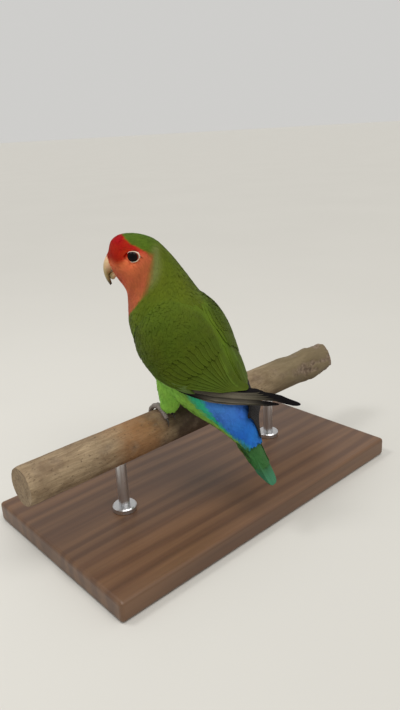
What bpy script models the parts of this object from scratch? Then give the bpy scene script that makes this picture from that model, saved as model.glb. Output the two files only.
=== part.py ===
# A peach faced lovebird at life size, gripping a short cut length of its perch,
# which two short rods hold over a flat display base.
#
# Run with: blender --background --python part.py
#
# World frame: the origin is the middle of the base's underside, +Z is up and the
# perch runs along X. All sizes below are in millimetres and are turned into metres
# where a mesh is made.
#
# Bird frame: x forward, y to the bird's left and z up from BIRD_LOW under the top of
# the perch, between the feet. The bird faces nearly along -Y with its head turned to
# its left.

import math

import bmesh
import bpy
import numpy as np

MM = 0.001

# Fits
GAP = 0.30              # left between nodes that touch

# Stand and perch
BASE_LENGTH = 220.0
BASE_WIDTH = 124.0
BASE_THICKNESS = 12.0
BASE_BEVEL = 2.0
ROD_RADIUS = 3.2
ROD_SPACING = 124.0     # between the two rods
ROD_LENGTH = 30.5       # from the base to the underside of the perch
COLLAR_RADIUS = 7.0
COLLAR_HEIGHT = 3.0
PERCH_RADIUS = 10.75
PERCH_LENGTH = 242.0
PERCH_BULGE = 1.3       # how much thicker the far, gnawed end is

PERCH_AXIS_Z = BASE_THICKNESS + ROD_LENGTH + PERCH_RADIUS
PERCH_TOP_Z = PERCH_AXIS_Z + PERCH_RADIUS

# Where and how the bird stands
FEET_X = 19.0                       # middle of the feet along the perch
BIRD_LOW = 2.5                      # from the top of the perch down to the bird's zero
BODY_YAW = math.radians(8.0)        # the body, turned from -Y towards +X
HEAD_TURN = math.radians(40.0)      # the head, turned to the bird's left
NECK_PIVOT_X = 9.0                  # the neck twists about this upright line

# Cross-sections from the face to the root of the tail. Each is an ellipse that
# stands across the body: its back point (x, z), its belly point (x, z), its half
# width, and its share of the head's turn.
BODY_SECTIONS = (
    ((33.2, 92.6), (29.8, 79.0), 6.4, 1.00),     # face behind the bill
    ((29.4, 97.2), (28.3, 76.6), 9.6, 1.00),
    ((24.3, 101.0), (26.4, 73.8), 12.2, 1.00),
    ((16.0, 102.6), (25.2, 70.6), 13.8, 1.00),   # crown
    ((7.5, 99.0), (25.0, 67.0), 14.9, 0.92),
    ((0.5, 91.8), (25.0, 62.6), 16.4, 0.70),     # nape and throat
    ((-6.5, 82.8), (24.6, 57.0), 19.0, 0.38),
    ((-14.0, 73.5), (22.8, 50.0), 22.0, 0.10),   # shoulders
    ((-24.0, 64.0), (18.6, 41.2), 24.0, 0.0),
    ((-32.0, 52.0), (11.5, 29.5), 24.3, 0.0),
    ((-38.0, 39.5), (0.5, 16.5), 22.3, 0.0),
    ((-44.0, 26.5), (-17.0, 5.5), 18.3, 0.0),
    ((-50.5, 13.5), (-36.0, -1.5), 13.0, 0.0),   # rump
    ((-57.0, 1.5), (-49.5, -7.0), 8.5, 0.0),
    ((-60.6, -9.0), (-57.4, -11.0), 6.0, 0.0),   # end of the flesh in the tail
)
HEAD_END = 4.6          # where the head is parted from the neck, in sections
NECK_END = 6.7          # where the neck is parted from the torso
TORSO_END = 12.2        # where the torso is parted from the tail
BODY_SIDES = 32
RINGS_PER_SECTION = 2

# Bill: side outlines as (upper x, z), (lower x, z) and half width
UPPER_BILL = (
    ((33.7, 92.2), (31.5, 83.6), 4.9),
    ((35.6, 90.2), (32.3, 83.1), 4.6),
    ((37.0, 86.6), (33.4, 82.2), 4.0),
    ((37.2, 82.4), (34.1, 80.7), 3.0),
    ((36.2, 78.2), (33.9, 78.6), 1.9),
    ((34.3, 74.6), (33.3, 75.6), 0.7),
)
LOWER_BILL = (
    ((31.4, 83.0), (30.5, 79.4), 4.2),
    ((32.1, 82.4), (31.5, 78.2), 3.8),
    ((32.7, 81.5), (32.4, 78.3), 3.0),
    ((33.1, 80.2), (32.9, 79.0), 1.6),
)
BILL_SIDES = 14
NOSTRIL = (34.6, 1.9, 91.2)
NOSTRIL_RADIUS = 0.55

# Eyes
EYE_RADIUS = 3.9
EYE_CENTRE = (18.6, 9.9, 92.0)
EYE_AXIS = (0.22, 0.97, 0.08)
LID_RING_RADIUS = 3.5
LID_RING_THICKNESS = 0.75
LID_RING_OUT = 2.35     # from the centre of the eye to the plane of the lid ring

# Tail feathers. The tail points down and back from the rump; its length is from the
# middle of section 13 to the tip of the middle feathers.
TAIL_START = (-53.2, -2.7)          # x, z
TAIL_TIP = (-68.6, -28.4)
TAIL_PAIRS = 6
TAIL_FEATHER_WIDTH = 7.0
TAIL_COVERTS = 5                    # in each row, above and below
VANE_THICKNESS = 0.62
WANDER_PACE = 0.9       # sets how each feather strays a little from its neighbours
WELD = 0.000002         # in metres

# Wings. The leading edge runs from the wrist to the tips of the longest feathers,
# and the back edge from the shoulder down the middle of the back to the same tips.
# The right wing is given as if it were a left one, and is mirrored.
WING_SHARED_EDGE = (
    (12.0, 19.5, 51.0),
    (8.2, 23.0, 42.3),
    (-1.0, 25.7, 33.7),
    (-11.9, 27.0, 27.6),
    (-25.0, 26.0, 24.8),
)
LEFT_WING_EDGE = WING_SHARED_EDGE + (
    (-38.2, 20.5, 22.6),
    (-51.0, 8.0, 18.6),
    (-62.0, -4.0, 14.4),
    (-76.5, -14.0, 13.0),
)
RIGHT_WING_EDGE = WING_SHARED_EDGE + (
    (-37.0, 23.5, 18.5),
    (-46.5, 16.5, 10.0),
    (-53.5, 8.5, 2.0),
    (-59.5, 1.5, -6.5),
)
WING_SHARED_BACK = (
    (-3.0, 20.5, 69.0),
    (-15.0, 12.0, 72.5),
    (-27.0, 2.6, 64.0),
    (-36.0, 1.0, 51.0),
    (-42.0, 1.0, 39.0),
)
LEFT_WING_BACK = WING_SHARED_BACK + (
    (-49.0, 0.9, 29.5),
    (-57.5, -3.0, 23.5),
    (-67.5, -8.5, 20.5),
    (-77.5, -14.0, 17.5),
)
RIGHT_WING_BACK = WING_SHARED_BACK + (
    (-50.0, 4.0, 31.0),
    (-57.5, 8.0, 21.5),
    (-62.5, 6.5, 9.0),
    (-65.0, 3.0, -3.0),
)
WING_INNER = -1.0       # inner face of the wing before it is cut clear of the torso
WING_BLADE_INNER = 1.2  # the same where the wing stands clear of the torso
WING_OUTER = 3.0        # outer face of the wing's core
WING_CORE_END = 0.74    # how far the core runs towards the tip
WING_LEAVES_BODY = (0.56, 0.80)
PRIMARY_TIPS = (0.93, 0.985, 1.0, 0.965, 0.925, 0.89, 0.86, 0.83, 0.80, 0.775)

# Legs: the feathered thigh, the shank and four toes that grip the perch
FOOT_PLACE = (2.5, 12.0)            # middle of a foot, forward and to its side
THIGH_TOP = (-10.0, 11.8, 25.0)
THIGH_RADIUS = 8.8
ANKLE = (-4.8, 11.0, 5.5)
ANKLE_RADIUS = 5.2
SHANK_RADIUS = 1.9
TOE_RADIUS = 1.55
TOE_SIDES = 8
CLAW_ARC = math.radians(24.0)       # of the perch's round that a claw reaches over
# Each toe: its arc round the perch from the top (front is positive), the way it
# leans along the perch outwards from the body, and its thickness beside the others
TOES = (
    (math.radians(56.0), -3.4, 0.92),
    (math.radians(74.0), 2.6, 1.0),
    (math.radians(-36.0), -3.0, 0.86),
    (math.radians(-50.0), 2.4, 1.0),
)


def lerp(start, end, share):
    """The point that lies the given share of the way from start to end."""
    return start + (end - start) * share


def smoothstep(low, high, value):
    """0 below low, 1 above high and a smooth rise between."""
    t = min(max((value - low) / (high - low), 0.0), 1.0)
    return t * t * (3.0 - 2.0 * t)


def spline(points, t):
    """A Catmull-Rom curve through equally spaced points, with t counted in points."""
    points = np.asarray(points, float)
    last = len(points) - 1
    k = int(min(max(math.floor(t), 0), last - 1))
    u = t - k
    before = points[k - 1] if k > 0 else 2.0 * points[0] - points[1]
    after = points[k + 2] if k + 2 <= last else 2.0 * points[last] - points[last - 1]
    start = points[k]
    end = points[k + 1]
    return 0.5 * (2.0 * start + (end - before) * u
                  + (2.0 * before - 5.0 * start + 4.0 * end - after) * u * u
                  + (3.0 * start - before - 3.0 * end + after) * u * u * u)


def turned(point, share):
    """A bird-frame point after its share of the head's turn."""
    angle = HEAD_TURN * share
    x = point[0] - NECK_PIVOT_X
    y = point[1]
    return np.array((x * math.cos(angle) - y * math.sin(angle) + NECK_PIVOT_X,
                     x * math.sin(angle) + y * math.cos(angle), point[2]))


def to_world(point):
    """A bird-frame point in the world, still in millimetres."""
    sin_yaw = math.sin(BODY_YAW)
    cos_yaw = math.cos(BODY_YAW)
    return (FEET_X + point[0] * sin_yaw + point[1] * cos_yaw,
            -point[0] * cos_yaw + point[1] * sin_yaw,
            PERCH_TOP_Z - BIRD_LOW + point[2])


BODY_NUMBERS = [(*back, *belly, width, turn) for back, belly, width, turn in BODY_SECTIONS]


def body_section(s):
    """Centre, half height vector, half width and turn of the body at section s."""
    row = spline(BODY_NUMBERS, s)
    back = row[0:2]
    belly = row[2:4]
    return (back + belly) / 2.0, (back - belly) / 2.0, row[4], min(max(row[5], 0.0), 1.0)


def body_point(s, angle, out=0.0):
    """A point of the body's surface at section s, moved outwards by out."""
    centre, half, width, share = body_section(s)
    height = np.linalg.norm(half)
    rise = half * (1.0 + out / height) * math.sin(angle)
    point = (centre[0] + rise[0], (width + out) * math.cos(angle), centre[1] + rise[1])
    return turned(point, share)


def wrap_on_body(point, out):
    """The point of the torso's surface beside a point, moved outwards by out."""
    place = np.array((point[0], point[2]))

    def miss(s):
        centre, half, width, share = body_section(s)
        return abs(float(np.cross(half, place - centre))) / np.linalg.norm(half)

    s = min((6.0 + 0.1 * k for k in range(76)), key=miss)
    s = min((s + 0.01 * k for k in range(-10, 11)), key=miss)
    centre, half, width, share = body_section(s)
    angle = math.atan2(float((place - centre) @ half) / float(half @ half), point[1] / width)
    return body_point(s, angle, out)


def new_object(name, vertices, faces, material):
    """A mesh object from bird-frame or world millimetres already placed in the world."""
    mesh = bpy.data.meshes.new(name)
    mesh.from_pydata([tuple(c * MM for c in v) for v in vertices], [], faces)
    shape = bmesh.new()
    shape.from_mesh(mesh)
    bmesh.ops.recalc_face_normals(shape, faces=shape.faces)
    shape.to_mesh(mesh)
    shape.free()
    item = bpy.data.objects.new(name, mesh)
    bpy.context.scene.collection.objects.link(item)
    if material is not None:
        mesh.materials.append(material)
    return item


def new_material(name, colour, roughness, metallic=0.0):
    """A plain material with the part's own colour."""
    material = bpy.data.materials.new(name)
    material.use_nodes = True
    shader = material.node_tree.nodes["Principled BSDF"]
    shader.inputs["Base Color"].default_value = (*colour, 1.0)
    shader.inputs["Roughness"].default_value = roughness
    shader.inputs["Metallic"].default_value = metallic
    return material


def loft(name, rings, material):
    """A closed solid through rings of points, with a flat face at each end."""
    sides = len(rings[0])
    vertices = [point for ring in rings for point in ring]
    faces = [tuple(range(sides)), tuple(range(len(vertices) - sides, len(vertices)))]
    for k in range(len(rings) - 1):
        for i in range(sides):
            j = (i + 1) % sides
            faces.append((k * sides + i, k * sides + j,
                          (k + 1) * sides + j, (k + 1) * sides + i))
    return new_object(name, vertices, faces, material)


def join_solids(target, extras, solver="EXACT"):
    """Fuse closed solids into the target and keep its largest closed surface."""
    group = bpy.data.collections.new(target.name + "_pieces")
    bpy.context.scene.collection.children.link(group)
    for extra in extras:
        bpy.context.scene.collection.objects.unlink(extra)
        group.objects.link(extra)
    cut = target.modifiers.new("Join", "BOOLEAN")
    cut.operation = "UNION"
    cut.operand_type = "COLLECTION"
    cut.collection = group
    cut.solver = solver
    apply_modifiers(target)
    for extra in extras:
        bpy.data.objects.remove(extra)
    bpy.data.collections.remove(group)
    keep_largest_surface(target)


def cut_solid(target, cutter, solver="EXACT"):
    """Take one closed solid out of another and keep the largest closed surface."""
    cut = target.modifiers.new("Cut", "BOOLEAN")
    cut.operation = "DIFFERENCE"
    cut.object = cutter
    cut.solver = solver
    apply_modifiers(target)
    bpy.data.objects.remove(cutter)
    keep_largest_surface(target)


def apply_modifiers(item):
    """Replace an object's mesh with its evaluated one."""
    graph = bpy.context.evaluated_depsgraph_get()
    result = bpy.data.meshes.new_from_object(item.evaluated_get(graph))
    item.modifiers.clear()
    item.data = result


def keep_largest_surface(item):
    """Drop every closed surface of a mesh but the one with the most faces."""
    shape = bmesh.new()
    shape.from_mesh(item.data)
    unseen = set(shape.verts)
    islands = []
    while unseen:
        stack = [unseen.pop()]
        island = list(stack)
        while stack:
            for edge in stack.pop().link_edges:
                for other in edge.verts:
                    if other in unseen:
                        unseen.remove(other)
                        stack.append(other)
                        island.append(other)
        islands.append(island)
    islands.sort(key=len)
    scraps = [vertex for island in islands[:-1] for vertex in island]
    bmesh.ops.delete(shape, geom=scraps, context="VERTS")
    remove_fins(shape)
    shape.to_mesh(item.data)
    shape.free()


def remove_fins(shape):
    """Weld what all but touches and take out pairs of faces that lie back to back."""
    bmesh.ops.remove_doubles(shape, verts=shape.verts[:], dist=WELD)
    bmesh.ops.dissolve_degenerate(shape, edges=shape.edges[:], dist=WELD)
    bmesh.ops.triangulate(shape, faces=shape.faces[:])
    pairs = {}
    for face in shape.faces:
        pairs.setdefault(frozenset(face.verts), []).append(face)
    fins = [face for faces in pairs.values() if len(faces) > 1 for face in faces]
    bmesh.ops.delete(shape, geom=fins, context="FACES")


def body_rings(start, end, out=0.0, sides=BODY_SIDES):
    """World rings of the body between two sections."""
    count = max(2, math.ceil((end - start) * RINGS_PER_SECTION) + 1)
    rings = []
    for k in range(count):
        s = lerp(start, end, k / (count - 1))
        rings.append([to_world(body_point(s, 2.0 * math.pi * i / sides, out))
                      for i in range(sides)])
    return rings


def shifted_section(s, distance):
    """The section that lies a distance further back along the body's axis."""
    ahead = body_section(s + 0.05)[0]
    here = body_section(s)[0]
    return s + distance * 0.05 / float(np.linalg.norm(ahead - here))


def ball(name, centre, radius, material=None, segments=16, rings=9):
    """A closed ball at a bird-frame point that turns with the head."""
    item = new_object(name, [], [], material)
    shape = bmesh.new()
    bmesh.ops.create_uvsphere(shape, u_segments=segments, v_segments=rings, radius=radius * MM)
    place = to_world(turned(centre, 1.0))
    bmesh.ops.translate(shape, verts=shape.verts, vec=[c * MM for c in place])
    shape.to_mesh(item.data)
    shape.free()
    return item


def unit(vector):
    """The vector at length one."""
    vector = np.asarray(vector, float)
    return vector / np.linalg.norm(vector)


def eye_frame(side):
    """Centre and outward axis of an eye in the bird frame before the head's turn."""
    mirror = np.array((1.0, side, 1.0))
    return np.array(EYE_CENTRE) * mirror, unit(np.array(EYE_AXIS) * mirror)


def lid_ring(side):
    """The raised ring of the eyelids round one eye."""
    centre, axis = eye_frame(side)
    first = unit(np.cross(axis, (0.0, 0.0, 1.0)))
    second = np.cross(axis, first)
    middle = centre + axis * LID_RING_OUT
    rings = []
    around = 20
    vertices = []
    faces = []
    section = 6
    for i in range(around):
        angle = 2.0 * math.pi * i / around
        spoke = first * math.cos(angle) + second * math.sin(angle)
        for k in range(section):
            tilt = 2.0 * math.pi * k / section
            point = (middle + spoke * (LID_RING_RADIUS + LID_RING_THICKNESS * math.cos(tilt))
                     + axis * LID_RING_THICKNESS * math.sin(tilt))
            vertices.append(to_world(turned(point, 1.0)))
    for i in range(around):
        for k in range(section):
            nxt = ((i + 1) % around) * section
            faces.append((i * section + k, nxt + k,
                          nxt + (k + 1) % section, i * section + (k + 1) % section))
    return new_object("lid", vertices, faces, None)


def build_head(material):
    """Head with the lid rings, hollowed for the eyes."""
    head = loft("head", body_rings(0.0, HEAD_END), material)
    join_solids(head, [lid_ring(1.0), lid_ring(-1.0)])
    for side in (1.0, -1.0):
        cut_solid(head, ball("socket", eye_frame(side)[0], EYE_RADIUS + GAP))


def build_neck(material):
    """Neck between the head and the shoulders."""
    start = shifted_section(HEAD_END, GAP * 2.0)
    loft("neck", body_rings(start, NECK_END), material)


def build_torso(material):
    """Breast, back, belly and rump."""
    start = shifted_section(NECK_END, GAP * 2.0)
    loft("torso", body_rings(start, TORSO_END), material)


def bill_rings(rows, steps):
    """World rings of a bill half from its side outline."""
    numbers = [(*upper, *lower, width) for upper, lower, width in rows]
    rings = []
    for k in range(steps + 1):
        row = spline(numbers, (len(rows) - 1) * k / steps)
        upper = row[0:2]
        lower = row[2:4]
        centre = (upper + lower) / 2.0
        half = (upper - lower) / 2.0
        ring = []
        for i in range(BILL_SIDES):
            angle = 2.0 * math.pi * i / BILL_SIDES
            point = (centre[0] + half[0] * math.sin(angle), row[4] * math.cos(angle),
                     centre[1] + half[1] * math.sin(angle))
            ring.append(to_world(turned(point, 1.0)))
        rings.append(ring)
    return rings


def build_bill(material):
    """Upper bill with its nostrils, and the lower bill inside its edge."""
    upper = loft("upper_bill", bill_rings(UPPER_BILL, 10), material)
    for side in (1.0, -1.0):
        place = (NOSTRIL[0], NOSTRIL[1] * side, NOSTRIL[2])
        cut_solid(upper, ball("nostril", place, NOSTRIL_RADIUS, segments=8, rings=6))
    loft("lower_bill", bill_rings(LOWER_BILL, 6), material)


def build_eyes(material):
    """The two eyeballs."""
    ball("eye_left", eye_frame(1.0)[0], EYE_RADIUS, material)
    ball("eye_right", eye_frame(-1.0)[0], EYE_RADIUS, material)


def tube(name, path, radii, sides, material=None):
    """A closed tube along world points, in millimetres, with its own radius at each."""
    path = [np.asarray(p, float) for p in path]
    rings = []
    across = None
    for k, middle in enumerate(path):
        ahead = path[min(k + 1, len(path) - 1)] - path[max(k - 1, 0)]
        ahead = unit(ahead)
        if across is None:
            across = unit(np.cross(ahead, (0.31, 0.17, 0.93)))
        across = unit(across - ahead * (across @ ahead))
        second = np.cross(ahead, across)
        rings.append([middle + radii[k] * (across * math.cos(2.0 * math.pi * i / sides)
                                           + second * math.sin(2.0 * math.pi * i / sides))
                      for i in range(sides)])
    return loft(name, rings, material)


def on_perch(x, arc, out):
    """World point over the perch: x along it, arc round it from the top, out from it."""
    reach = PERCH_RADIUS + out
    return np.array((x, -reach * math.sin(arc), PERCH_AXIS_Z + reach * math.cos(arc)))


def toe(foot_x, side, arc, lean, thickness):
    """One toe with its claw, wrapped round the perch."""
    radius = TOE_RADIUS * thickness
    path = []
    radii = []
    steps = 7
    for k in range(steps + 1):
        t = k / steps
        joint = 1.0 + 0.10 * math.cos(6.0 * math.pi * t)
        size = radius * joint * lerp(1.0, 0.82, t)
        path.append(on_perch(foot_x + side * lean * t ** 0.8, arc * t, GAP + radius * 1.1))
        radii.append(size)
    claw = 4
    for k in range(1, claw + 1):
        t = k / claw
        size = radius * lerp(0.62, 0.16, t)
        lift = 0.9 * math.sin(math.pi * t)
        arc_here = arc + math.copysign(CLAW_ARC, arc) * t
        path.append(on_perch(foot_x + side * lean * (1.0 + 0.12 * t), arc_here,
                             GAP + size * 1.2 + lift + 0.2 * (1.0 - t)))
        radii.append(size)
    return tube("toe", path, radii, TOE_SIDES)


def build_leg(name, side, material):
    """Feathered thigh, shank, toes and claws of one leg."""
    top = np.array(THIGH_TOP) * (1.0, side, 1.0)
    ankle = np.array(ANKLE) * (1.0, side, 1.0)
    foot = np.array(to_world((FOOT_PLACE[0], FOOT_PLACE[1] * side, 0.0)))
    rings = []
    steps = 6
    for k in range(steps + 1):
        t = k / steps
        middle = lerp(top, ankle, t)
        across = lerp(THIGH_RADIUS, ANKLE_RADIUS, smoothstep(0.0, 1.0, t))
        deep = across * 1.12
        rings.append([to_world(middle + np.array((deep * math.cos(2.0 * math.pi * i / 16),
                                                  across * math.sin(2.0 * math.pi * i / 16), 0.0)))
                      for i in range(16)])
    leg = loft(name, rings, material)
    heel = on_perch(foot[0], 0.0, GAP + TOE_RADIUS * 1.1)
    shank = tube("shank", (to_world(lerp(top, ankle, 0.7)), lerp(np.array(to_world(ankle)), heel, 0.5),
                           heel), (SHANK_RADIUS, SHANK_RADIUS, SHANK_RADIUS * 0.95), 10)
    pieces = [shank] + [toe(foot[0], side, *form) for form in TOES]
    join_solids(leg, pieces)
    cut_solid(leg, loft("cutter", body_rings(8.0, TORSO_END, GAP), None))


class Wing:
    """The curved sheet that one folded wing's feathers lie on."""

    def __init__(self, name, side, edge, back):
        self.name = name
        self.mirror = np.array((1.0, side, 1.0))
        self.edge = np.array(edge)
        self.back = np.array(back)

    def chord(self, a, b):
        """Point a share a along the wing and b from its leading to its back edge."""
        count = len(self.edge) - 1
        low = spline(self.edge, a * count)
        high = spline(self.back, a * count)
        return lerp(low, high, b)

    def normal(self, a, b):
        """Outward normal of the free part of the wing."""
        step = 0.01
        along = self.chord(min(a + step, 0.995), b) - self.chord(min(a + step, 0.995) - 2 * step, b)
        a_wide = min(a, 0.9)
        across = self.chord(a_wide, 1.0) - self.chord(a_wide, 0.0)
        return unit(np.cross(along, across))

    def point(self, a, b, height):
        """Bird-frame point of the sheet, raised outwards by a height."""
        chord = self.chord(a, b)
        free_share = smoothstep(*WING_LEAVES_BODY, a)
        free = chord + self.normal(a, b) * (height - WING_OUTER)
        if free_share < 1.0:
            wrapped = wrap_on_body(chord, height)
            free = lerp(wrapped, free, free_share)
        return free * self.mirror


def slab(name, outer, inner, material):
    """A closed solid between two grids of points of the same size."""
    rows = len(outer)
    columns = len(outer[0])
    vertices = [p for row in outer for p in row] + [p for row in inner for p in row]
    shift = rows * columns
    faces = []
    for i in range(rows - 1):
        for k in range(columns - 1):
            a = i * columns + k
            b = a + 1
            c = a + columns + 1
            d = a + columns
            faces.append((a, b, c))
            faces.append((a, c, d))
            faces.append((a + shift, c + shift, b + shift))
            faces.append((a + shift, d + shift, c + shift))
    rim = [k for k in range(columns)]
    rim += [i * columns + columns - 1 for i in range(1, rows)]
    rim += [(rows - 1) * columns + k for k in range(columns - 2, -1, -1)]
    rim += [i * columns for i in range(rows - 2, 0, -1)]
    for k, start in enumerate(rim):
        end = rim[(k + 1) % len(rim)]
        faces.append((start, end, end + shift))
        faces.append((start, end + shift, start + shift))
    return new_object(name, vertices, faces, material)


# How the half width of a vane changes from its root to its tip
VANE_OUTLINE = ((0.0, 0.70), (0.40, 1.0), (0.82, 0.92), (0.96, 0.55), (1.0, 0.18))


def vane(spots, half_width, thickness):
    """A thin closed feather through spots of (point, side, up), in the bird frame."""
    vertices = []
    for (t, share), (point, side, up) in zip(VANE_OUTLINE, spots):
        reach = half_width * share
        thin = lerp(thickness, 0.7 * thickness, t) / 2.0
        for face, across in ((1.0, -1.0), (1.0, 1.0), (-1.0, 1.0), (-1.0, -1.0)):
            vertices.append(to_world(point + side * reach * across + up * face * thin))
    faces = [(3, 2, 1, 0)]
    for k in range(0, len(vertices) - 4, 4):
        faces += [(k, k + 1, k + 5), (k, k + 5, k + 4)]
        faces += [(k + 3, k + 6, k + 2), (k + 3, k + 7, k + 6)]
        faces += [(k + 1, k + 2, k + 6, k + 5), (k + 3, k, k + 4, k + 7)]
    last = len(vertices) - 4
    faces.append((last, last + 1, last + 2, last + 3))
    return new_object("vane", vertices, faces, None)


def wing_vane(number, wing, root, tip, half_width, heights, roll):
    """A vane on the wing's sheet from root to tip, both as (a, b), rolled like a shingle."""
    wander = math.sin(WANDER_PACE * number)
    roll += 0.03 * wander
    spots = []
    step = 0.004
    lean = step * (tip[1] - root[1]) / (tip[0] - root[0])
    for t, share in VANE_OUTLINE:
        a = lerp(root[0], tip[0], t)
        b = lerp(root[1], tip[1], t)
        height = lerp(heights[0], heights[1], min(1.0, 2.5 * t)) + 0.05 * wander
        point = wing.point(a, b, height)
        along = unit(wing.point(a + step, b + lean, height) - point)
        side = wing.point(a, b + 0.02, height) - point
        side = unit(side - along * (side @ along))
        up = np.cross(side, along) * wing.mirror[1]
        side = unit(side + up * roll)
        up = np.cross(side, along) * wing.mirror[1]
        spots.append((point, side, up))
    return vane(spots, half_width, VANE_THICKNESS)


# Tiers of wing feathers. Each has a count, then for its first and its last feather
# (b at the root, b at the tip, a at the tip, half width, height over the torso), then
# a at the root and the roll. First is the feather next to the leading edge.
WING_TIERS = (
    (9, (0.20, 0.40, 0.745, 2.9, 2.75), (0.82, 0.80, 0.69, 2.9, 3.2), 0.50, 0.09),
    (3, (0.80, 0.80, 0.68, 3.0, 3.4), (0.90, 0.88, 0.61, 3.0, 3.6), 0.46, 0.09),
    (9, (0.16, 0.16, 0.50, 2.9, 3.35), (0.88, 0.88, 0.43, 2.9, 3.5), 0.30, 0.10),
    (3, (0.06, 0.06, 0.52, 1.7, 2.3), (0.11, 0.12, 0.44, 1.7, 2.8), 0.34, 0.10),
)


def wing_feathers(wing):
    """Every vane of one wing: the primaries, then the tiers that lie over them."""
    vanes = []
    for i, tip in enumerate(PRIMARY_TIPS):
        share = i / (len(PRIMARY_TIPS) - 1)
        vanes.append(wing_vane(i, wing, (0.60, lerp(0.06, 0.34, share)), (tip, lerp(0.28, 0.66, share)),
                               lerp(2.0, 2.4, share), (lerp(1.5, 2.3, share), lerp(1.5, 2.3, share)),
                               0.16))
    for count, first, last, root, roll in WING_TIERS:
        for i in range(count):
            b_root, b_tip, a_tip, width, height = lerp(np.array(first), np.array(last),
                                                       i / (count - 1))
            vanes.append(wing_vane(len(vanes), wing, (root, b_root), (a_tip, b_tip), width,
                                   (height - 0.9, height), roll))
    return vanes


def build_wing(wing, material):
    """One folded wing: its core and the tiers of feathers over it."""
    rows = 10
    columns = 6
    outer = []
    inner = []
    for i in range(rows + 1):
        a = WING_CORE_END * i / rows
        outer_row = []
        inner_row = []
        for k in range(columns + 1):
            b = k / columns
            rim = min(1.0, 5.0 * b + 0.25, 5.0 * (1.0 - b) + 0.25, 8.0 * a + 0.3)
            crown = lerp(1.2, WING_OUTER, rim)
            crown = lerp(crown, 2.4, smoothstep(0.5, 0.7, a))
            floor = lerp(WING_INNER, WING_BLADE_INNER, smoothstep(*WING_LEAVES_BODY, a))
            outer_row.append(to_world(wing.point(a, b, crown)))
            inner_row.append(to_world(wing.point(a, b, floor)))
        outer.append(outer_row)
        inner.append(inner_row)
    core = slab(wing.name, outer, inner, material)
    join_solids(core, wing_feathers(wing), "MANIFOLD")
    cut_solid(core, loft("cutter", body_rings(NECK_END - 0.7, 14.0, GAP), None), "MANIFOLD")


def tail_vane(number, start, end, side_shift, spread, rise, half_width):
    """A vane along the tail between two shares of its length, in millimetres aside."""
    wander = math.sin(WANDER_PACE * number)
    low = np.array((TAIL_START[0], 0.0, TAIL_START[1]))
    high = np.array((TAIL_TIP[0], 0.0, TAIL_TIP[1]))
    along = unit(high - low)
    up = np.array((along[2], 0.0, -along[0]))
    spots = []
    for t, share in VANE_OUTLINE:
        place = lerp(start, end, t)
        sideways = side_shift + spread * place
        point = lerp(low, high, place) + np.array((0.0, sideways, 0.0))
        lift = lerp(rise[0], rise[1], t) + 0.05 * wander
        tilt = unit(up + np.array((0.0, 0.12 * np.sign(side_shift) + 0.02 * wander, 0.0)))
        side = unit(np.cross(along, tilt))
        spots.append((point + up * lift, side, tilt))
    return vane(spots, half_width, VANE_THICKNESS)


def tail_feathers():
    """Tail feathers in pairs, the middle pair on top, and the coverts over their roots."""
    vanes = []
    for i in range(TAIL_PAIRS):
        share = i / (TAIL_PAIRS - 1)
        for side in (1.0, -1.0):
            shift = side * lerp(0.9, 3.6, share)
            spread = side * lerp(0.2, 0.9, share)
            rise = lerp(1.0, -1.2, share) + (0.16 if side > 0.0 else 0.0)
            vanes.append(tail_vane(len(vanes), 0.05, lerp(1.0, 0.80, share ** 1.5), shift, spread,
                                   (rise * 0.7, rise), TAIL_FEATHER_WIDTH / 2.0))
    for k in range(TAIL_COVERTS):
        share = 2.0 * k / (TAIL_COVERTS - 1) - 1.0
        shift = 4.6 * share + 0.01
        bow = 1.3 * share * share
        vanes.append(tail_vane(len(vanes), -0.10, 0.47 - 0.08 * abs(share), shift, -0.6 * share,
                               (3.4 - bow, 2.3 - bow), 3.2))
        vanes.append(tail_vane(len(vanes), -0.10, 0.56 - 0.10 * abs(share), shift, -0.9 * share,
                               (-3.0 + bow, -1.9 + bow), 3.2))
    return vanes


def build_tail(material):
    """Root of the tail with its feathers and their coverts."""
    start = shifted_section(TORSO_END, GAP * 2.0)
    tail = loft("tail", body_rings(start, len(BODY_SECTIONS) - 1, sides=24), material)
    join_solids(tail, tail_feathers(), "MANIFOLD")


def build_perch(material):
    """A short cut length of the perch, gnawed and thicker at its far end."""
    sides = 24
    steps = 20
    rings = []
    for k in range(steps + 1):
        x = -PERCH_LENGTH / 2.0 + PERCH_LENGTH * k / steps
        far = 1.0 - smoothstep(-95.0, -70.0, x)
        ring = []
        for i in range(sides):
            angle = 2.0 * math.pi * i / sides
            wave = 0.6 * math.sin(3.0 * angle + 0.08 * x) + 0.4 * math.sin(0.23 * x)
            radius = PERCH_RADIUS + far * PERCH_BULGE * wave
            ring.append((x, radius * math.cos(angle), PERCH_AXIS_Z + radius * math.sin(angle)))
        rings.append(ring)
    loft("perch", rings, material)


def build_stand(wood, metal):
    """A flat base and two turned rods that end under the perch."""
    half_length = BASE_LENGTH / 2.0
    half_width = BASE_WIDTH / 2.0
    corners = [(x, y, z) for x in (-half_length, half_length)
               for y in (-half_width, half_width) for z in (0.0, BASE_THICKNESS)]
    faces = [(0, 1, 3, 2), (4, 6, 7, 5), (0, 4, 5, 1), (2, 3, 7, 6), (0, 2, 6, 4), (1, 5, 7, 3)]
    base = new_object("stand_base", corners, faces, wood)
    bevel = base.modifiers.new("Bevel", "BEVEL")
    bevel.width = BASE_BEVEL * MM
    bevel.segments = 3
    for name, x in (("stand_rod_near", ROD_SPACING / 2.0), ("stand_rod_far", -ROD_SPACING / 2.0)):
        build_rod(name, x, metal)


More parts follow.
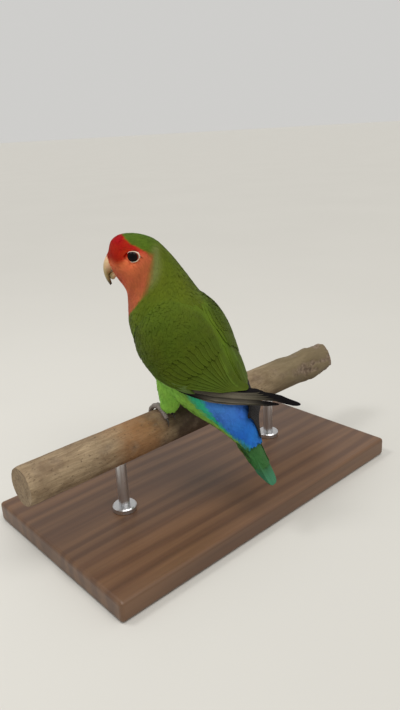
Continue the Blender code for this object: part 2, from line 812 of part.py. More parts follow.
def build_rod(name, x, material):
    """A rod with a turned collar, hollowed on top to the perch's round."""
    sides = 24
    foot = BASE_THICKNESS + GAP
    profile = ((COLLAR_RADIUS, foot), (COLLAR_RADIUS, foot + COLLAR_HEIGHT - 0.6),
               (COLLAR_RADIUS - 0.6, foot + COLLAR_HEIGHT), (ROD_RADIUS, foot + COLLAR_HEIGHT))
    rings = []
    for radius, z in profile:
        rings.append([(x + radius * math.cos(2.0 * math.pi * i / sides),
                       radius * math.sin(2.0 * math.pi * i / sides), z) for i in range(sides)])
    top = []
    for i in range(sides):
        y = ROD_RADIUS * math.sin(2.0 * math.pi * i / sides)
        clear = PERCH_RADIUS + GAP
        top.append((x + ROD_RADIUS * math.cos(2.0 * math.pi * i / sides), y,
                    PERCH_AXIS_Z - math.sqrt(clear * clear - y * y)))
    rings.append(top)
    loft(name, rings, material)


def clear_scene():
    """Remove whatever the file opened with."""
    for item in list(bpy.data.objects):
        bpy.data.objects.remove(item)


clear_scene()
GREEN = (0.10, 0.17, 0.03)
build_head(new_material("head_feathers", (0.55, 0.12, 0.05), 0.85))
build_neck(new_material("neck_feathers", (0.16, 0.22, 0.05), 0.85))
build_torso(new_material("torso_feathers", (0.14, 0.33, 0.07), 0.85))
build_tail(new_material("tail_feathers", (0.06, 0.20, 0.25), 0.7))
build_bill(new_material("bill_horn", (0.62, 0.50, 0.36), 0.4))
build_eyes(new_material("eye_gloss", (0.01, 0.006, 0.004), 0.08))
build_wing(Wing("wing_left", 1.0, LEFT_WING_EDGE, LEFT_WING_BACK),
           new_material("wing_left_feathers", GREEN, 0.75))
build_wing(Wing("wing_right", -1.0, RIGHT_WING_EDGE, RIGHT_WING_BACK),
           new_material("wing_right_feathers", GREEN, 0.75))
build_leg("leg_left", 1.0, new_material("leg_left_skin", (0.25, 0.45, 0.12), 0.7))
build_leg("leg_right", -1.0, new_material("leg_right_skin", (0.25, 0.45, 0.12), 0.7))
build_perch(new_material("perch_wood", (0.32, 0.19, 0.09), 0.8))
build_stand(new_material("base_wood", (0.12, 0.06, 0.03), 0.4),
            new_material("rod_metal", (0.55, 0.55, 0.56), 0.3, 1.0))
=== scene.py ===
# The looks of a life-size peach faced lovebird on its display stand: one skin under
# coats of joined feathers, a horn bill, wet eyes, scaled feet, a wooden perch, a
# wooden base and steel rods.
#
# Lengths are in millimetres and become metres as each mesh is made. Bird frame: x
# forward, y to the bird's left and z up from BIRD_LOW under the top of the perch,
# between the feet. The head's sizes are given before its turn to the left.

import math

import bmesh
import bpy
import numpy as np
from mathutils import Matrix, Vector, kdtree, noise


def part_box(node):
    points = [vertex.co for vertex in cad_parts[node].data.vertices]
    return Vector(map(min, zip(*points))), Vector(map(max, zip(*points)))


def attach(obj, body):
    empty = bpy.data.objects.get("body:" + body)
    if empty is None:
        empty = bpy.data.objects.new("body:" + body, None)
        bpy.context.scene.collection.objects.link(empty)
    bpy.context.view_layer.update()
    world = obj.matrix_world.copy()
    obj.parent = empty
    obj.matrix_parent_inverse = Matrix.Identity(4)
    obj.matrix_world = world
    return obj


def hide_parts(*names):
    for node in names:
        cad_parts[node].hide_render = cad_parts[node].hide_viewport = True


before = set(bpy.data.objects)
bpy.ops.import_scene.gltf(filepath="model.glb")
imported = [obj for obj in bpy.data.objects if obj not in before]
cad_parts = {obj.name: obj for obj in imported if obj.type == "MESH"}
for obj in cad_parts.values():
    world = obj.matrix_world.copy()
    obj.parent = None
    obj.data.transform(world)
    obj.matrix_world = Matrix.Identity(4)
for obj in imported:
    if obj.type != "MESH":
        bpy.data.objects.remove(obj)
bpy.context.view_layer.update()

MM = 0.001
rng = np.random.default_rng(20)

# The perch and where the bird stands on it
PERCH_LOW, PERCH_HIGH = (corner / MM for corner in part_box("perch"))
PERCH_RADIUS = 10.75
PERCH_AXIS_Z = 53.25
BIRD_LOW = 2.5          # from the top of the perch down to the bird's zero
BIRD_ZERO_Z = PERCH_AXIS_Z + PERCH_RADIUS - BIRD_LOW
FEET_X = 19.0
STAIN_AND_SHADOW_X = 14.0          # where the perch is darkest: stained wood and painted shadow under the bird
WARM_X = 50.0           # and where its wood is warmest
BODY_YAW = math.radians(8.0)
HEAD_TURN = math.radians(40.0)
NECK_PIVOT_X = 9.0

# Sections of the body from the face to the end of the flesh in the tail: back point
# (x, z), belly point (x, z), half width, share of the head's turn
BODY_SECTIONS = np.array((
    (33.5, 94.0, 29.8, 79.0, 6.5, 1.00),
    (31.3, 99.7, 28.3, 76.6, 9.7, 1.00),
    (25.8, 102.8, 26.4, 73.8, 12.3, 1.00),
    (16.6, 102.6, 25.2, 70.6, 13.8, 1.00),
    (7.5, 99.0, 25.0, 67.0, 14.9, 0.92),
    (0.5, 91.8, 25.0, 62.6, 16.4, 0.70),
    (-6.5, 82.8, 24.6, 57.0, 19.0, 0.38),
    (-14.0, 73.5, 22.8, 50.0, 22.0, 0.10),
    (-24.0, 64.0, 18.6, 41.2, 24.0, 0.0),
    (-32.0, 52.0, 11.5, 29.5, 24.3, 0.0),
    (-38.0, 39.5, 0.5, 16.5, 22.3, 0.0),
    (-44.0, 26.5, -17.0, 5.5, 18.3, 0.0),
    (-50.1, 13.5, -35.5, -2.2, 12.5, 0.0),
    (-56.0, 1.4, -48.2, -9.0, 8.4, 0.0),
    (-59.6, -9.3, -55.4, -13.6, 6.2, 0.0),
))
LAST_SECTION = len(BODY_SECTIONS) - 1
FIRST_SECTION = -0.4    # the face carries on a little to the root of the bill

# Bill, as upper (x, z), lower (x, z), half width
UPPER_BILL = np.array((
    (29.5, 91.6, 28.0, 84.4, 4.7),
    (33.7, 92.2, 31.5, 83.6, 4.9),
    (35.6, 90.2, 32.3, 83.1, 4.6),
    (37.0, 86.6, 33.4, 82.2, 4.0),
    (37.2, 82.4, 34.1, 80.7, 3.0),
    (36.2, 78.2, 33.9, 78.6, 1.9),
    (34.3, 74.6, 33.3, 75.6, 0.7),
))
LOWER_BILL = np.array((
    (28.4, 83.4, 27.8, 80.0, 3.5),
    (31.4, 83.3, 30.5, 79.2, 3.6),
    (32.6, 82.8, 31.6, 78.1, 3.1),
    (33.7, 81.8, 32.6, 77.9, 2.4),
    (34.5, 80.4, 33.5, 78.4, 1.4),
))

# Eyes
EYE_RADIUS = 3.9
EYE_CENTRE = np.array((18.6, 9.9, 92.0))
EYE_AXIS = np.array((0.22, 0.97, 0.08))
LID_INNER = 2.95        # mean radii of the almond-shaped ring of bare skin
LID_OUTER = 3.62
NOSTRIL = np.array((34.6, 1.9, 91.2))
NOSTRIL_RADIUS = 0.55

# Legs
THIGH_TOP = np.array((-10.8, 11.8, 25.0))
ANKLE = np.array((-5.4, 11.0, 5.5))
THIGH_RADIUS = 8.8
ANKLE_RADIUS = 5.2
FOOT_PLACE = (2.5, 12.4)
SHANK_RADIUS = 1.9
TOE_RADIUS = 1.55
CLAW_ARC = math.radians(22.0)
TOES = (                # arc round the perch, lean along it, thickness
    (math.radians(56.0), -6.4, 0.92),
    (math.radians(74.0), -2.4, 1.0),
    (math.radians(-36.0), -3.4, 0.86),
    (math.radians(-46.0), 2.0, 1.0),
)

# Tail
TAIL_START = np.array((-51.8, 0.0, -3.0))
TAIL_TIP = np.array((-68.0, 0.0, -29.3))
TAIL_LENGTH = np.linalg.norm(TAIL_TIP - TAIL_START)
TAIL_UP = np.array((TAIL_TIP[2] - TAIL_START[2], 0.0, TAIL_START[0] - TAIL_TIP[0])) / TAIL_LENGTH

# Wings, both given as if they were the left one
WING_SHARED_EDGE = (
    (12.0, 19.5, 51.0),
    (8.2, 23.0, 42.3),
    (-1.0, 25.7, 33.7),
    (-11.9, 27.0, 27.6),
    (-25.0, 26.0, 24.8),
)
LEFT_WING_EDGE = WING_SHARED_EDGE + (
    (-38.2, 20.5, 22.6),
    (-51.0, 8.0, 18.6),
    (-62.0, -4.0, 14.4),
    (-76.5, -14.0, 13.0),
)
RIGHT_WING_EDGE = WING_SHARED_EDGE + (
    (-38.0, 26.0, 18.0),
    (-48.5, 21.0, 10.4),
    (-53.0, 12.0, 2.4),
    (-60.8, 2.6, -5.0),
)
WING_SHARED_BACK = (
    (-3.0, 20.5, 69.0),
    (-15.0, 12.0, 72.5),
    (-27.0, 0.2, 64.0),
    (-36.0, -0.4, 51.0),
    (-42.0, -0.4, 39.0),
)
LEFT_WING_BACK = WING_SHARED_BACK + (
    (-49.0, -0.3, 29.8),
    (-57.5, -3.6, 25.5),
    (-67.5, -8.5, 21.2),
    (-77.5, -14.0, 17.5),
)
RIGHT_WING_BACK = WING_SHARED_BACK + (
    (-50.0, 1.6, 30.4),
    (-56.0, -3.5, 12.5),
    (-58.4, -4.0, 6.5),
    (-62.6, -1.0, -1.8),
)
WING_OUTER = 3.0        # height of the chord's points over the torso
WING_LEAVES_BODY = (0.56, 0.80)


# Small maths, on single values and on arrays alike

def lerp(start, end, share):
    """The point that lies the given share of the way from start to end."""
    return start + (end - start) * share


def smoothstep(low, high, value):
    """0 below low, 1 above high and a smooth rise between."""
    t = np.clip((np.asarray(value, float) - low) / (high - low), 0.0, 1.0)
    return t * t * (3.0 - 2.0 * t)


def unit(vectors):
    """Vectors at length one."""
    vectors = np.asarray(vectors, float)
    return vectors / np.maximum(np.linalg.norm(vectors, axis=-1, keepdims=True), 1e-9)


def spline(points, t):
    """A Catmull-Rom curve through equally spaced points, with t counted in points."""
    points = np.asarray(points, float)
    last = len(points) - 1
    padded = np.vstack((2.0 * points[0] - points[1], points, 2.0 * points[-1] - points[-2]))
    t = np.asarray(t, float)
    k = np.clip(np.floor(t), 0, last - 1).astype(int)
    u = (t - k)[..., None]
    before, start, end, after = (padded[k + i] for i in range(4))
    return 0.5 * (2.0 * start + (end - before) * u
                  + (2.0 * before - 5.0 * start + 4.0 * end - after) * u * u
                  + (3.0 * start - before - 3.0 * end + after) * u * u * u)


def turned(points, share):
    """Bird-frame points after their share of the head's turn."""
    points = np.asarray(points, float)
    angle = HEAD_TURN * np.asarray(share)
    x = points[..., 0] - NECK_PIVOT_X
    y = points[..., 1]
    return np.stack((x * np.cos(angle) - y * np.sin(angle) + NECK_PIVOT_X,
                     x * np.sin(angle) + y * np.cos(angle), points[..., 2]), axis=-1)


def to_world(points):
    """Bird-frame points in the world, in metres."""
    points = np.asarray(points, float)
    sin_yaw = math.sin(BODY_YAW)
    cos_yaw = math.cos(BODY_YAW)
    return MM * np.stack((FEET_X + points[..., 0] * sin_yaw + points[..., 1] * cos_yaw,
                          -points[..., 0] * cos_yaw + points[..., 1] * sin_yaw,
                          BIRD_ZERO_Z + points[..., 2]), axis=-1)


# Surfaces that feathers grow on. Each has frame(u, v): point, outward normal and the
# steps that one unit of u and one of v make. Feathers run along u.

class BodySurface:
    """Head, neck, torso and the root of the tail; u is the section, v the angle round it."""

    def point(self, s, angle):
        row = spline(BODY_SECTIONS, s)
        centre = (row[..., 0:2] + row[..., 2:4]) / 2.0
        half = (row[..., 0:2] - row[..., 2:4]) / 2.0
        rise = half * np.sin(angle)[..., None]
        points = np.stack((centre[..., 0] + rise[..., 0], row[..., 4] * np.cos(angle),
                           centre[..., 1] + rise[..., 1]), axis=-1)
        return turned(points, np.clip(row[..., 5], 0.0, 1.0))

    def frame(self, s, angle):
        s, angle = np.broadcast_arrays(np.asarray(s, float), np.asarray(angle, float))
        step = 0.02
        here = self.point(s, angle)
        along = (self.point(s + step, angle) - self.point(s - step, angle)) / (2.0 * step)
        round_it = (self.point(s, angle + step) - self.point(s, angle - step)) / (2.0 * step)
        normal = unit(np.cross(round_it, along))
        middle = (here + self.point(s, angle + math.pi)) / 2.0
        outwards = np.sign(np.sum(normal * (here - middle), axis=-1, keepdims=True))
        return here, normal * outwards, along, round_it


class ThighSurface(BodySurface):
    """A feathered thigh; u runs from inside the body, by the hip, to the ankle, v round it."""

    DOME = 0.34             # length of the rounded top, as a share of the thigh

    def __init__(self, side):
        self.top = THIGH_TOP * (1.0, side, 1.0)
        self.ankle = ANKLE * (1.0, side, 1.0)

    def point(self, t, angle):
        middle = lerp(self.top, self.ankle, t[..., None])
        dome = np.sqrt(np.clip(1.0 - (np.minimum(t, 0.0) / self.DOME) ** 2, 0.003, 1.0))
        across = lerp(THIGH_RADIUS, ANKLE_RADIUS, smoothstep(0.0, 1.0, t)) * dome
        return middle + np.stack((1.12 * across * np.cos(angle), across * np.sin(angle),
                                  np.zeros_like(t)), axis=-1)


class WingSurface:
    """The curved sheet of a folded wing; u runs along it, v from its leading edge to its back."""

    ROWS = 120
    COLUMNS = 60

    def __init__(self, side, edge, back):
        self.mirror = np.array((1.0, side, 1.0))
        self.edge = np.array(edge)
        self.back = np.array(back)
        a, b = np.meshgrid(np.linspace(0.0, 1.0, self.ROWS + 1),
                           np.linspace(0.0, 1.0, self.COLUMNS + 1), indexing="ij")
        chord = self.chord(a, b)
        step = 0.01
        ahead = np.minimum(a + step, 0.995)
        along = self.chord(ahead, b) - self.chord(ahead - 2.0 * step, b)
        wide = np.minimum(a, 0.9)
        across = self.chord(wide, np.ones_like(b)) - self.chord(wide, np.zeros_like(b))
        normal = unit(np.cross(along, across))
        wrapped, rise = self.wrap(chord)
        share = smoothstep(*WING_LEAVES_BODY, a)[..., None]
        self.base = lerp(wrapped, chord - normal * WING_OUTER, share) * self.mirror
        self.rise = lerp(rise, normal, share) * self.mirror

    def chord(self, a, b):
        count = len(self.edge) - 1
        return lerp(spline(self.edge, a * count), spline(self.back, a * count), b[..., None])

    def wrap(self, points):
        """The torso's surface beside each point and how it moves for each mm outwards."""
        place = points[..., (0, 2)]

        def miss(s):
            row = spline(BODY_SECTIONS, s)
            half = (row[..., 0:2] - row[..., 2:4]) / 2.0
            away = place - (row[..., 0:2] + row[..., 2:4]) / 2.0
            cross = half[..., 0] * away[..., 1] - half[..., 1] * away[..., 0]
            return np.abs(cross) / np.linalg.norm(half, axis=-1)

        best = np.full(place.shape[:-1], 6.0)
        for span, step in ((3.8, 0.1), (0.1, 0.01)):
            start = best + (span if span > 1.0 else 0.0)
            least = np.full(best.shape, np.inf)
            for offset in np.arange(-span, span + step / 2.0, step):
                value = miss(start + offset)
                closer = value < least
                least = np.where(closer, value, least)
                best = np.where(closer, start + offset, best)
        row = spline(BODY_SECTIONS, best)
        half = (row[..., 0:2] - row[..., 2:4]) / 2.0
        away = place - (row[..., 0:2] + row[..., 2:4]) / 2.0
        high = np.sum(away * half, axis=-1) / np.sum(half * half, axis=-1)
        angle = np.arctan2(high, points[..., 1] / row[..., 4])
        share = np.clip(row[..., 5], 0.0, 1.0)
        turned_base = BodySurface().point(best, angle)
        lean = unit(half)
        rise = np.stack((lean[..., 0] * np.sin(angle), np.cos(angle),
                         lean[..., 1] * np.sin(angle)), axis=-1)
        pivot = np.array((NECK_PIVOT_X, 0.0, 0.0))
        return turned_base, turned(rise + pivot, share) - pivot

    def sample(self, grid, a, b):
        x = np.clip(a, 0.0, 1.0) * self.ROWS
        y = np.clip(b, 0.0, 1.0) * self.COLUMNS
        i = np.minimum(x.astype(int), self.ROWS - 1)
        k = np.minimum(y.astype(int), self.COLUMNS - 1)
        x = (x - i)[..., None]
        y = (y - k)[..., None]
        return lerp(lerp(grid[i, k], grid[i + 1, k], x),
                    lerp(grid[i, k + 1], grid[i + 1, k + 1], x), y)

    def frame(self, a, b):
        a, b = np.broadcast_arrays(np.asarray(a, float), np.asarray(b, float))
        step = 0.02
        here = self.sample(self.base, a, b)
        low = np.clip(a - step, 0.0, 1.0 - 2.0 * step)
        along = self.sample(self.base, low + 2.0 * step, b) - self.sample(self.base, low, b)
        low = np.clip(b - step, 0.0, 1.0 - 2.0 * step)
        across = self.sample(self.base, a, low + 2.0 * step) - self.sample(self.base, a, low)
        return here, self.sample(self.rise, a, b), along / (2.0 * step), across / (2.0 * step)


class TailSurface:
    """The slightly arched sheet of the tail; u is a share of its length, v is in mm across."""

    ARCH = 0.035

    def frame(self, u, v):
        u, v = np.broadcast_arrays(np.asarray(u, float), np.asarray(v, float))
        step = 0.02
        here = self.point(u, v)
        along = (self.point(u + step, v) - here) / step
        across = (self.point(u, v + step) - here) / step
        normal = unit(np.cross(across, along))
        return here, normal * np.sign(normal @ TAIL_UP)[..., None], along, across

    def point(self, u, v):
        return (lerp(TAIL_START, TAIL_TIP, u[..., None]) + v[..., None] * (0.0, 1.0, 0.0)
                - TAIL_UP * (self.ARCH * v * v)[..., None])


class TailRootSurface(BodySurface):
    """The flattening sleeve from the rump to the tail; v is the angle round it."""

    def point(self, u, angle):
        width = lerp(8.6, 5.3, smoothstep(0.0, 0.60, u))
        thick = lerp(5.4, 1.3, smoothstep(-0.06, 0.42, u))
        return (lerp(TAIL_START, TAIL_TIP, u[..., None]) + (width * np.cos(angle))[..., None] * (0.0, 1.0, 0.0)
                + TAIL_UP * (thick * np.sin(angle) - TailSurface.ARCH * (width * np.cos(angle)) ** 2)[..., None])


# Plumage colours, as seen in daylight

def tint(red, green, blue):
    """A colour from its 0 to 255 display values."""
    value = np.array((red, green, blue)) / 255.0
    return np.where(value <= 0.04045, value / 12.92, ((value + 0.055) / 1.055) ** 2.4)


FOREHEAD_RED = tint(156, 14, 0)
FACE_ORANGE = tint(212, 104, 66)
CHEEK_PEACH = tint(196, 98, 64)
THROAT_PEACH = tint(168, 84, 52)
CROWN_GREEN = tint(74, 98, 18)
NAPE_GREEN = tint(80, 93, 10)
NECK_GREY = tint(118, 122, 78)
MANTLE_GREEN = tint(78, 92, 12)
BREAST_GREEN = tint(82, 98, 10)
BELLY_GREEN = tint(138, 194, 76)
VENT_OLIVE = tint(142, 158, 76)
TURQUOISE = tint(48, 168, 128)
RUMP_BLUE = tint(62, 114, 190)
DEEP_BLUE = tint(32, 98, 176)
TAIL_GREEN = tint(50, 92, 46)
TAIL_TEAL = tint(58, 114, 84)
WING_GREEN = tint(74, 90, 12)
# The wing's darker middle green below carries painted shade, and its lighter upper green carries painted light, as
# light falls from above and the right.
WING_GREEN_PAINTED_SHADE = tint(65, 80, 8)
WING_GREEN_PAINTED_LIGHT = tint(84, 106, 20)
# pale back edge of the wing: partly the feathers' pale fringes, partly a painted highlight
WING_EDGE_AND_HIGHLIGHT = tint(132, 160, 72)
WING_SHADE = tint(66, 90, 18)
SECONDARY_GREEN = tint(62, 77, 10)
PRIMARY_OLIVE = tint(79, 74, 64)
PRIMARY_BLACK = tint(13, 10, 12)

# Where the face ends and green begins: the section and the rise round it, in degrees
FACE_EDGE = np.array((
    (0.0, 120.0), (1.85, 110.0), (2.05, 88.0), (2.35, 60.0), (2.75, 46.0), (3.5, 41.0),
    (4.1, 42.0), (4.5, 45.0), (4.65, 36.0), (5.1, 25.0), (5.7, 16.0), (6.1, 6.0),
    (6.3, -14.0), (6.45, -45.0), (6.8, -90.0), (7.2, -150.0),
))
RED_EDGE = np.array((
    (0.0, 26.0), (1.0, 5.0), (1.6, -2.0), (2.2, 5.0), (3.0, 28.0), (3.6, 36.0), (4.5, 45.0),
    (4.9, 60.0),
))
BLUE_START = np.array((
    (-30.0, 14.5), (-14.0, 13.2), (0.0, 11.9), (10.0, 11.35), (20.0, 10.95), (30.0, 10.8),
    (60.0, 10.75), (90.0, 10.7),
))
BLUE_END = np.array(((-20.0, 12.4), (0.0, 13.0), (20.0, 13.6), (60.0, 14.4)))


def rise_of(angle):
    """How far up or down the body's side an angle lies, in degrees, alike on both sides."""
    return np.degrees(np.arctan2(np.sin(angle), np.abs(np.cos(angle))))


def along_curve(curve, value):
    """The second column of a curve read at a value of its first."""
    return np.interp(value, curve[:, 0], curve[:, 1])


def mix(first, second, share):
    """Colours mixed by a share for each point."""
    return lerp(first, second, np.asarray(share)[..., None])


def body_colours(s, angle):
    """Plumage colour of the body at a section and an angle."""
    rise = rise_of(angle)
    green = mix(CROWN_GREEN, NAPE_GREEN, smoothstep(3.6, 5.0, s))
    green = mix(green, MANTLE_GREEN, smoothstep(5.6, 7.2, s))
    green = mix(green, BREAST_GREEN, smoothstep(20.0, -25.0, rise) * smoothstep(4.8, 6.4, s))
    lower = smoothstep(24.0, -16.0, rise) * smoothstep(7.2, 9.6, s)
    green = mix(green, BELLY_GREEN, lower)
    green = mix(green, VENT_OLIVE, smoothstep(-8.0, -40.0, rise) * smoothstep(11.2, 12.0, s))
    green = mix(green, TAIL_GREEN, smoothstep(12.6, 13.4, s) * smoothstep(-30.0, -5.0, rise))
    blue_from = along_curve(BLUE_START, rise)
    blue_to = along_curve(BLUE_END, rise)
    turquoise = smoothstep(-1.45, -0.45, s - blue_from) * smoothstep(0.5, -0.6, s - blue_to)
    blue = smoothstep(-0.1, 0.35, s - blue_from) * smoothstep(0.5, -0.6, s - blue_to)
    green = mix(green, TURQUOISE, turquoise)
    green = mix(green, mix(RUMP_BLUE, DEEP_BLUE, smoothstep(11.6, 13.0, s)), blue)
    face = mix(FACE_ORANGE, CHEEK_PEACH, smoothstep(8.0, -22.0, rise))
    face = mix(face, THROAT_PEACH, smoothstep(2.9, 4.4, s))
    blur = lerp(15.0, 6.0, smoothstep(0.5, 3.0, s))
    red = smoothstep(-blur, blur, rise - along_curve(RED_EDGE, s)) * lerp(1.0, 0.7, smoothstep(2.6, 3.8, s))
    face = mix(face, FOREHEAD_RED, red)
    soft = lerp(3.0, 17.0, smoothstep(3.7, 5.0, s))
    beyond = (rise - along_curve(FACE_EDGE, s)) / 16.0
    green = mix(green, NECK_GREY, 0.5 * np.exp(-(beyond - 0.9) ** 2) * smoothstep(3.9, 4.5, s) * smoothstep(6.4, 5.4, s))
    return mix(green, face, smoothstep(-soft, soft, along_curve(FACE_EDGE, s) - rise))


# Nodes for materials

class Shader:
    """A material whose nodes are added one by one."""

    def __init__(self, name, roughness, **sockets):
        self.material = bpy.data.materials.new(name)
        self.material.use_nodes = True
        self.tree = self.material.node_tree
        self.surface = self.tree.nodes["Principled BSDF"]
        self.surface.inputs["Roughness"].default_value = roughness
        for socket, value in sockets.items():
            self.surface.inputs[socket.replace("_", " ")].default_value = value
        self.coordinates = self.tree.nodes.new("ShaderNodeTexCoord")

    def link(self, value, socket):
        """Plug a node's output or a constant into a socket."""
        if isinstance(value, bpy.types.NodeSocket):
            self.tree.links.new(value, socket)
        elif isinstance(value, (int, float)):
            socket.default_value = value
        else:
            socket.default_value = (*value, 1.0) if socket.type == "RGBA" else tuple(value)

    def place(self, scale=(1.0, 1.0, 1.0), rotation=(0.0, 0.0, 0.0), source="Object"):
        """Stretched coordinates."""
        mapping = self.tree.nodes.new("ShaderNodeMapping")
        mapping.inputs["Scale"].default_value = scale
        mapping.inputs["Rotation"].default_value = rotation
        self.link(self.coordinates.outputs[source], mapping.inputs["Vector"])
        return mapping.outputs["Vector"]

    def noise(self, vector, scale, detail=4.0, roughness=0.55, distortion=0.0):
        node = self.tree.nodes.new("ShaderNodeTexNoise")
        self.link(vector, node.inputs["Vector"])
        node.inputs["Scale"].default_value = scale
        node.inputs["Detail"].default_value = detail
        node.inputs["Roughness"].default_value = roughness
        node.inputs["Distortion"].default_value = distortion
        return node.outputs["Fac"]

    def cells(self, vector, scale, feature="F1"):
        node = self.tree.nodes.new("ShaderNodeTexVoronoi")
        node.feature = feature
        self.link(vector, node.inputs["Vector"])
        node.inputs["Scale"].default_value = scale
        return node.outputs["Distance"]

    def bands(self, vector, scale, distortion=0.0, direction="X", kind="BANDS"):
        node = self.tree.nodes.new("ShaderNodeTexWave")
        node.wave_type = kind
        if kind == "BANDS":
            node.bands_direction = direction
        else:
            node.rings_direction = direction
        self.link(vector, node.inputs["Vector"])
        node.inputs["Scale"].default_value = scale
        node.inputs["Distortion"].default_value = distortion
        node.inputs["Detail"].default_value = 2.0
        return node.outputs["Fac"]

    def attribute(self, name, output="Fac"):
        node = self.tree.nodes.new("ShaderNodeAttribute")
        node.attribute_name = name
        return node.outputs[output]

    def math(self, operation, first, second=0.0):
        node = self.tree.nodes.new("ShaderNodeMath")
        node.operation = operation
        self.link(first, node.inputs[0])
        self.link(second, node.inputs[1])
        return node.outputs[0]

    def spread(self, value, low, high, start=0.0, end=1.0):
        """Map a value from one range to another, held inside it."""
        node = self.tree.nodes.new("ShaderNodeMapRange")
        self.link(value, node.inputs["Value"])
        node.inputs["From Min"].default_value = low
        node.inputs["From Max"].default_value = high
        node.inputs["To Min"].default_value = start
        node.inputs["To Max"].default_value = end
        return node.outputs["Result"]

    def blend(self, share, first, second, kind="MIX"):
        node = self.tree.nodes.new("ShaderNodeMix")
        node.data_type = "RGBA"
        node.blend_type = kind
        self.link(share, node.inputs["Factor"])
        self.link(first, node.inputs["A"])
        self.link(second, node.inputs["B"])
        return node.outputs["Result"]

    def brighten(self, colour, value, hue=0.5):
        """A colour times a value, with its hue turned where hue isn't 0.5."""
        node = self.tree.nodes.new("ShaderNodeHueSaturation")
        self.link(colour, node.inputs["Color"])
        self.link(value, node.inputs["Value"])
        self.link(hue, node.inputs["Hue"])
        return node.outputs["Color"]

    def split(self, vector):
        node = self.tree.nodes.new("ShaderNodeSeparateXYZ")
        self.link(vector, node.inputs["Vector"])
        return node.outputs["X"], node.outputs["Y"], node.outputs["Z"]

    def join(self, x, y, z):
        node = self.tree.nodes.new("ShaderNodeCombineXYZ")
        for value, socket in zip((x, y, z), node.inputs):
            self.link(value, socket)
        return node.outputs["Vector"]

    def bump(self, height, distance, strength=1.0):
        node = self.tree.nodes.new("ShaderNodeBump")
        node.inputs["Strength"].default_value = strength
        node.inputs["Distance"].default_value = distance
        self.link(height, node.inputs["Height"])
        self.link(node.outputs["Normal"], self.surface.inputs["Normal"])

    def paint(self, colour, roughness=None):
        self.link(colour, self.surface.inputs["Base Color"])
        if roughness is not None:
            self.link(roughness, self.surface.inputs["Roughness"])
        return self.material


def feather_material(name, barbs, shaft, fringe_and_painted_light):
    """Feathers: barbs that slant from the shaft, a fine shaft line and a paler edge, partly the feathers' soft fringe
    and partly painted light that lifts the shade between them.
    """
    shade = Shader(name, 0.62, Specular_IOR_Level=0.09, Sheen_Weight=0.03, Sheen_Roughness=0.5)
    x, y, _ = shade.split(shade.coordinates.outputs["UV"])
    away = shade.math("ABSOLUTE", shade.math("SUBTRACT", x, 0.5))
    slant = shade.math("SUBTRACT", y, shade.math("MULTIPLY", away, 0.55))
    lines = shade.bands(shade.join(slant, 0.0, 0.0), barbs, 0.6)
    patch = shade.noise(shade.coordinates.outputs["Object"], 150.0, 3.0)
    value = shade.math("ADD", shade.spread(lines, 0.0, 1.0, -0.06, 0.06),
                       shade.spread(patch, 0.3, 0.7, -0.09, 0.09))
    value = shade.math("ADD", value, shade.attribute("tone"))
    # paler tips and sides: partly the fringe's own colour, partly painted light against the shade where feathers
    # overlap
    rim = shade.math("MAXIMUM", shade.spread(y, 0.80, 1.0), shade.spread(away, 0.36, 0.5))
    value = shade.math("ADD", value, shade.math("MULTIPLY", rim, fringe_and_painted_light))
    line = shade.math("MULTIPLY", shade.spread(away, 0.035, 0.01), shaft)
    value = shade.math("ADD", shade.math("ADD", value, line), 1.0)
    warm = shade.spread(shade.noise(shade.coordinates.outputs["Object"], 70.0, 2.0), 0.3, 0.7, 0.492, 0.508)
    colour = shade.brighten(shade.attribute("plumage", "Color"), value, warm)
    height = shade.math("ADD", lines, shade.math("MULTIPLY", shade.spread(away, 0.06, 0.0), 1.6))
    shade.bump(height, 0.00005, 0.5)
    return shade.paint(colour)


def skin_material():
    """Down and skin under the feathers, with the coat's own markings."""
    shade = Shader("under_down", 0.85, Specular_IOR_Level=0.05)
    soft = shade.noise(shade.coordinates.outputs["Object"], 900.0, 5.0)
    value = shade.spread(soft, 0.3, 0.7, 0.78, 0.98)
    shade.bump(soft, 0.0003, 0.8)
    return shade.paint(shade.brighten(shade.attribute("plumage", "Color"), value))


# Feather shapes

class Vane:
    """A closed feather, drawn as a prism that is cut into rows along its shaft."""

    def __init__(self, outline, sides=4, under=0.35):
        self.shares = np.array([share for share, width in outline])
        self.widths = np.array([width for share, width in outline])
        rows = len(outline)
        shape = bmesh.new()
        bmesh.ops.create_cone(shape, cap_ends=True, segments=sides, radius1=1.0, radius2=1.0, depth=1.0)
        long_edges = [edge for edge in shape.edges
                      if abs(edge.verts[0].co.z - edge.verts[1].co.z) > 0.5]
        bmesh.ops.subdivide_edges(shape, edges=long_edges, cuts=rows - 2)
        shape.verts.index_update()
        places = np.array([vertex.co for vertex in shape.verts])
        self.row = np.rint((places[:, 2] + 0.5) * (rows - 1)).astype(int)
        self.across = places[:, 0]
        self.lift = np.where(places[:, 1] > 0.0, places[:, 1], under * places[:, 1])
        self.faces = [[vertex.index for vertex in face.verts] for face in shape.faces]
        shape.free()

    def triangles(self):
        return sum(len(face) - 2 for face in self.faces)


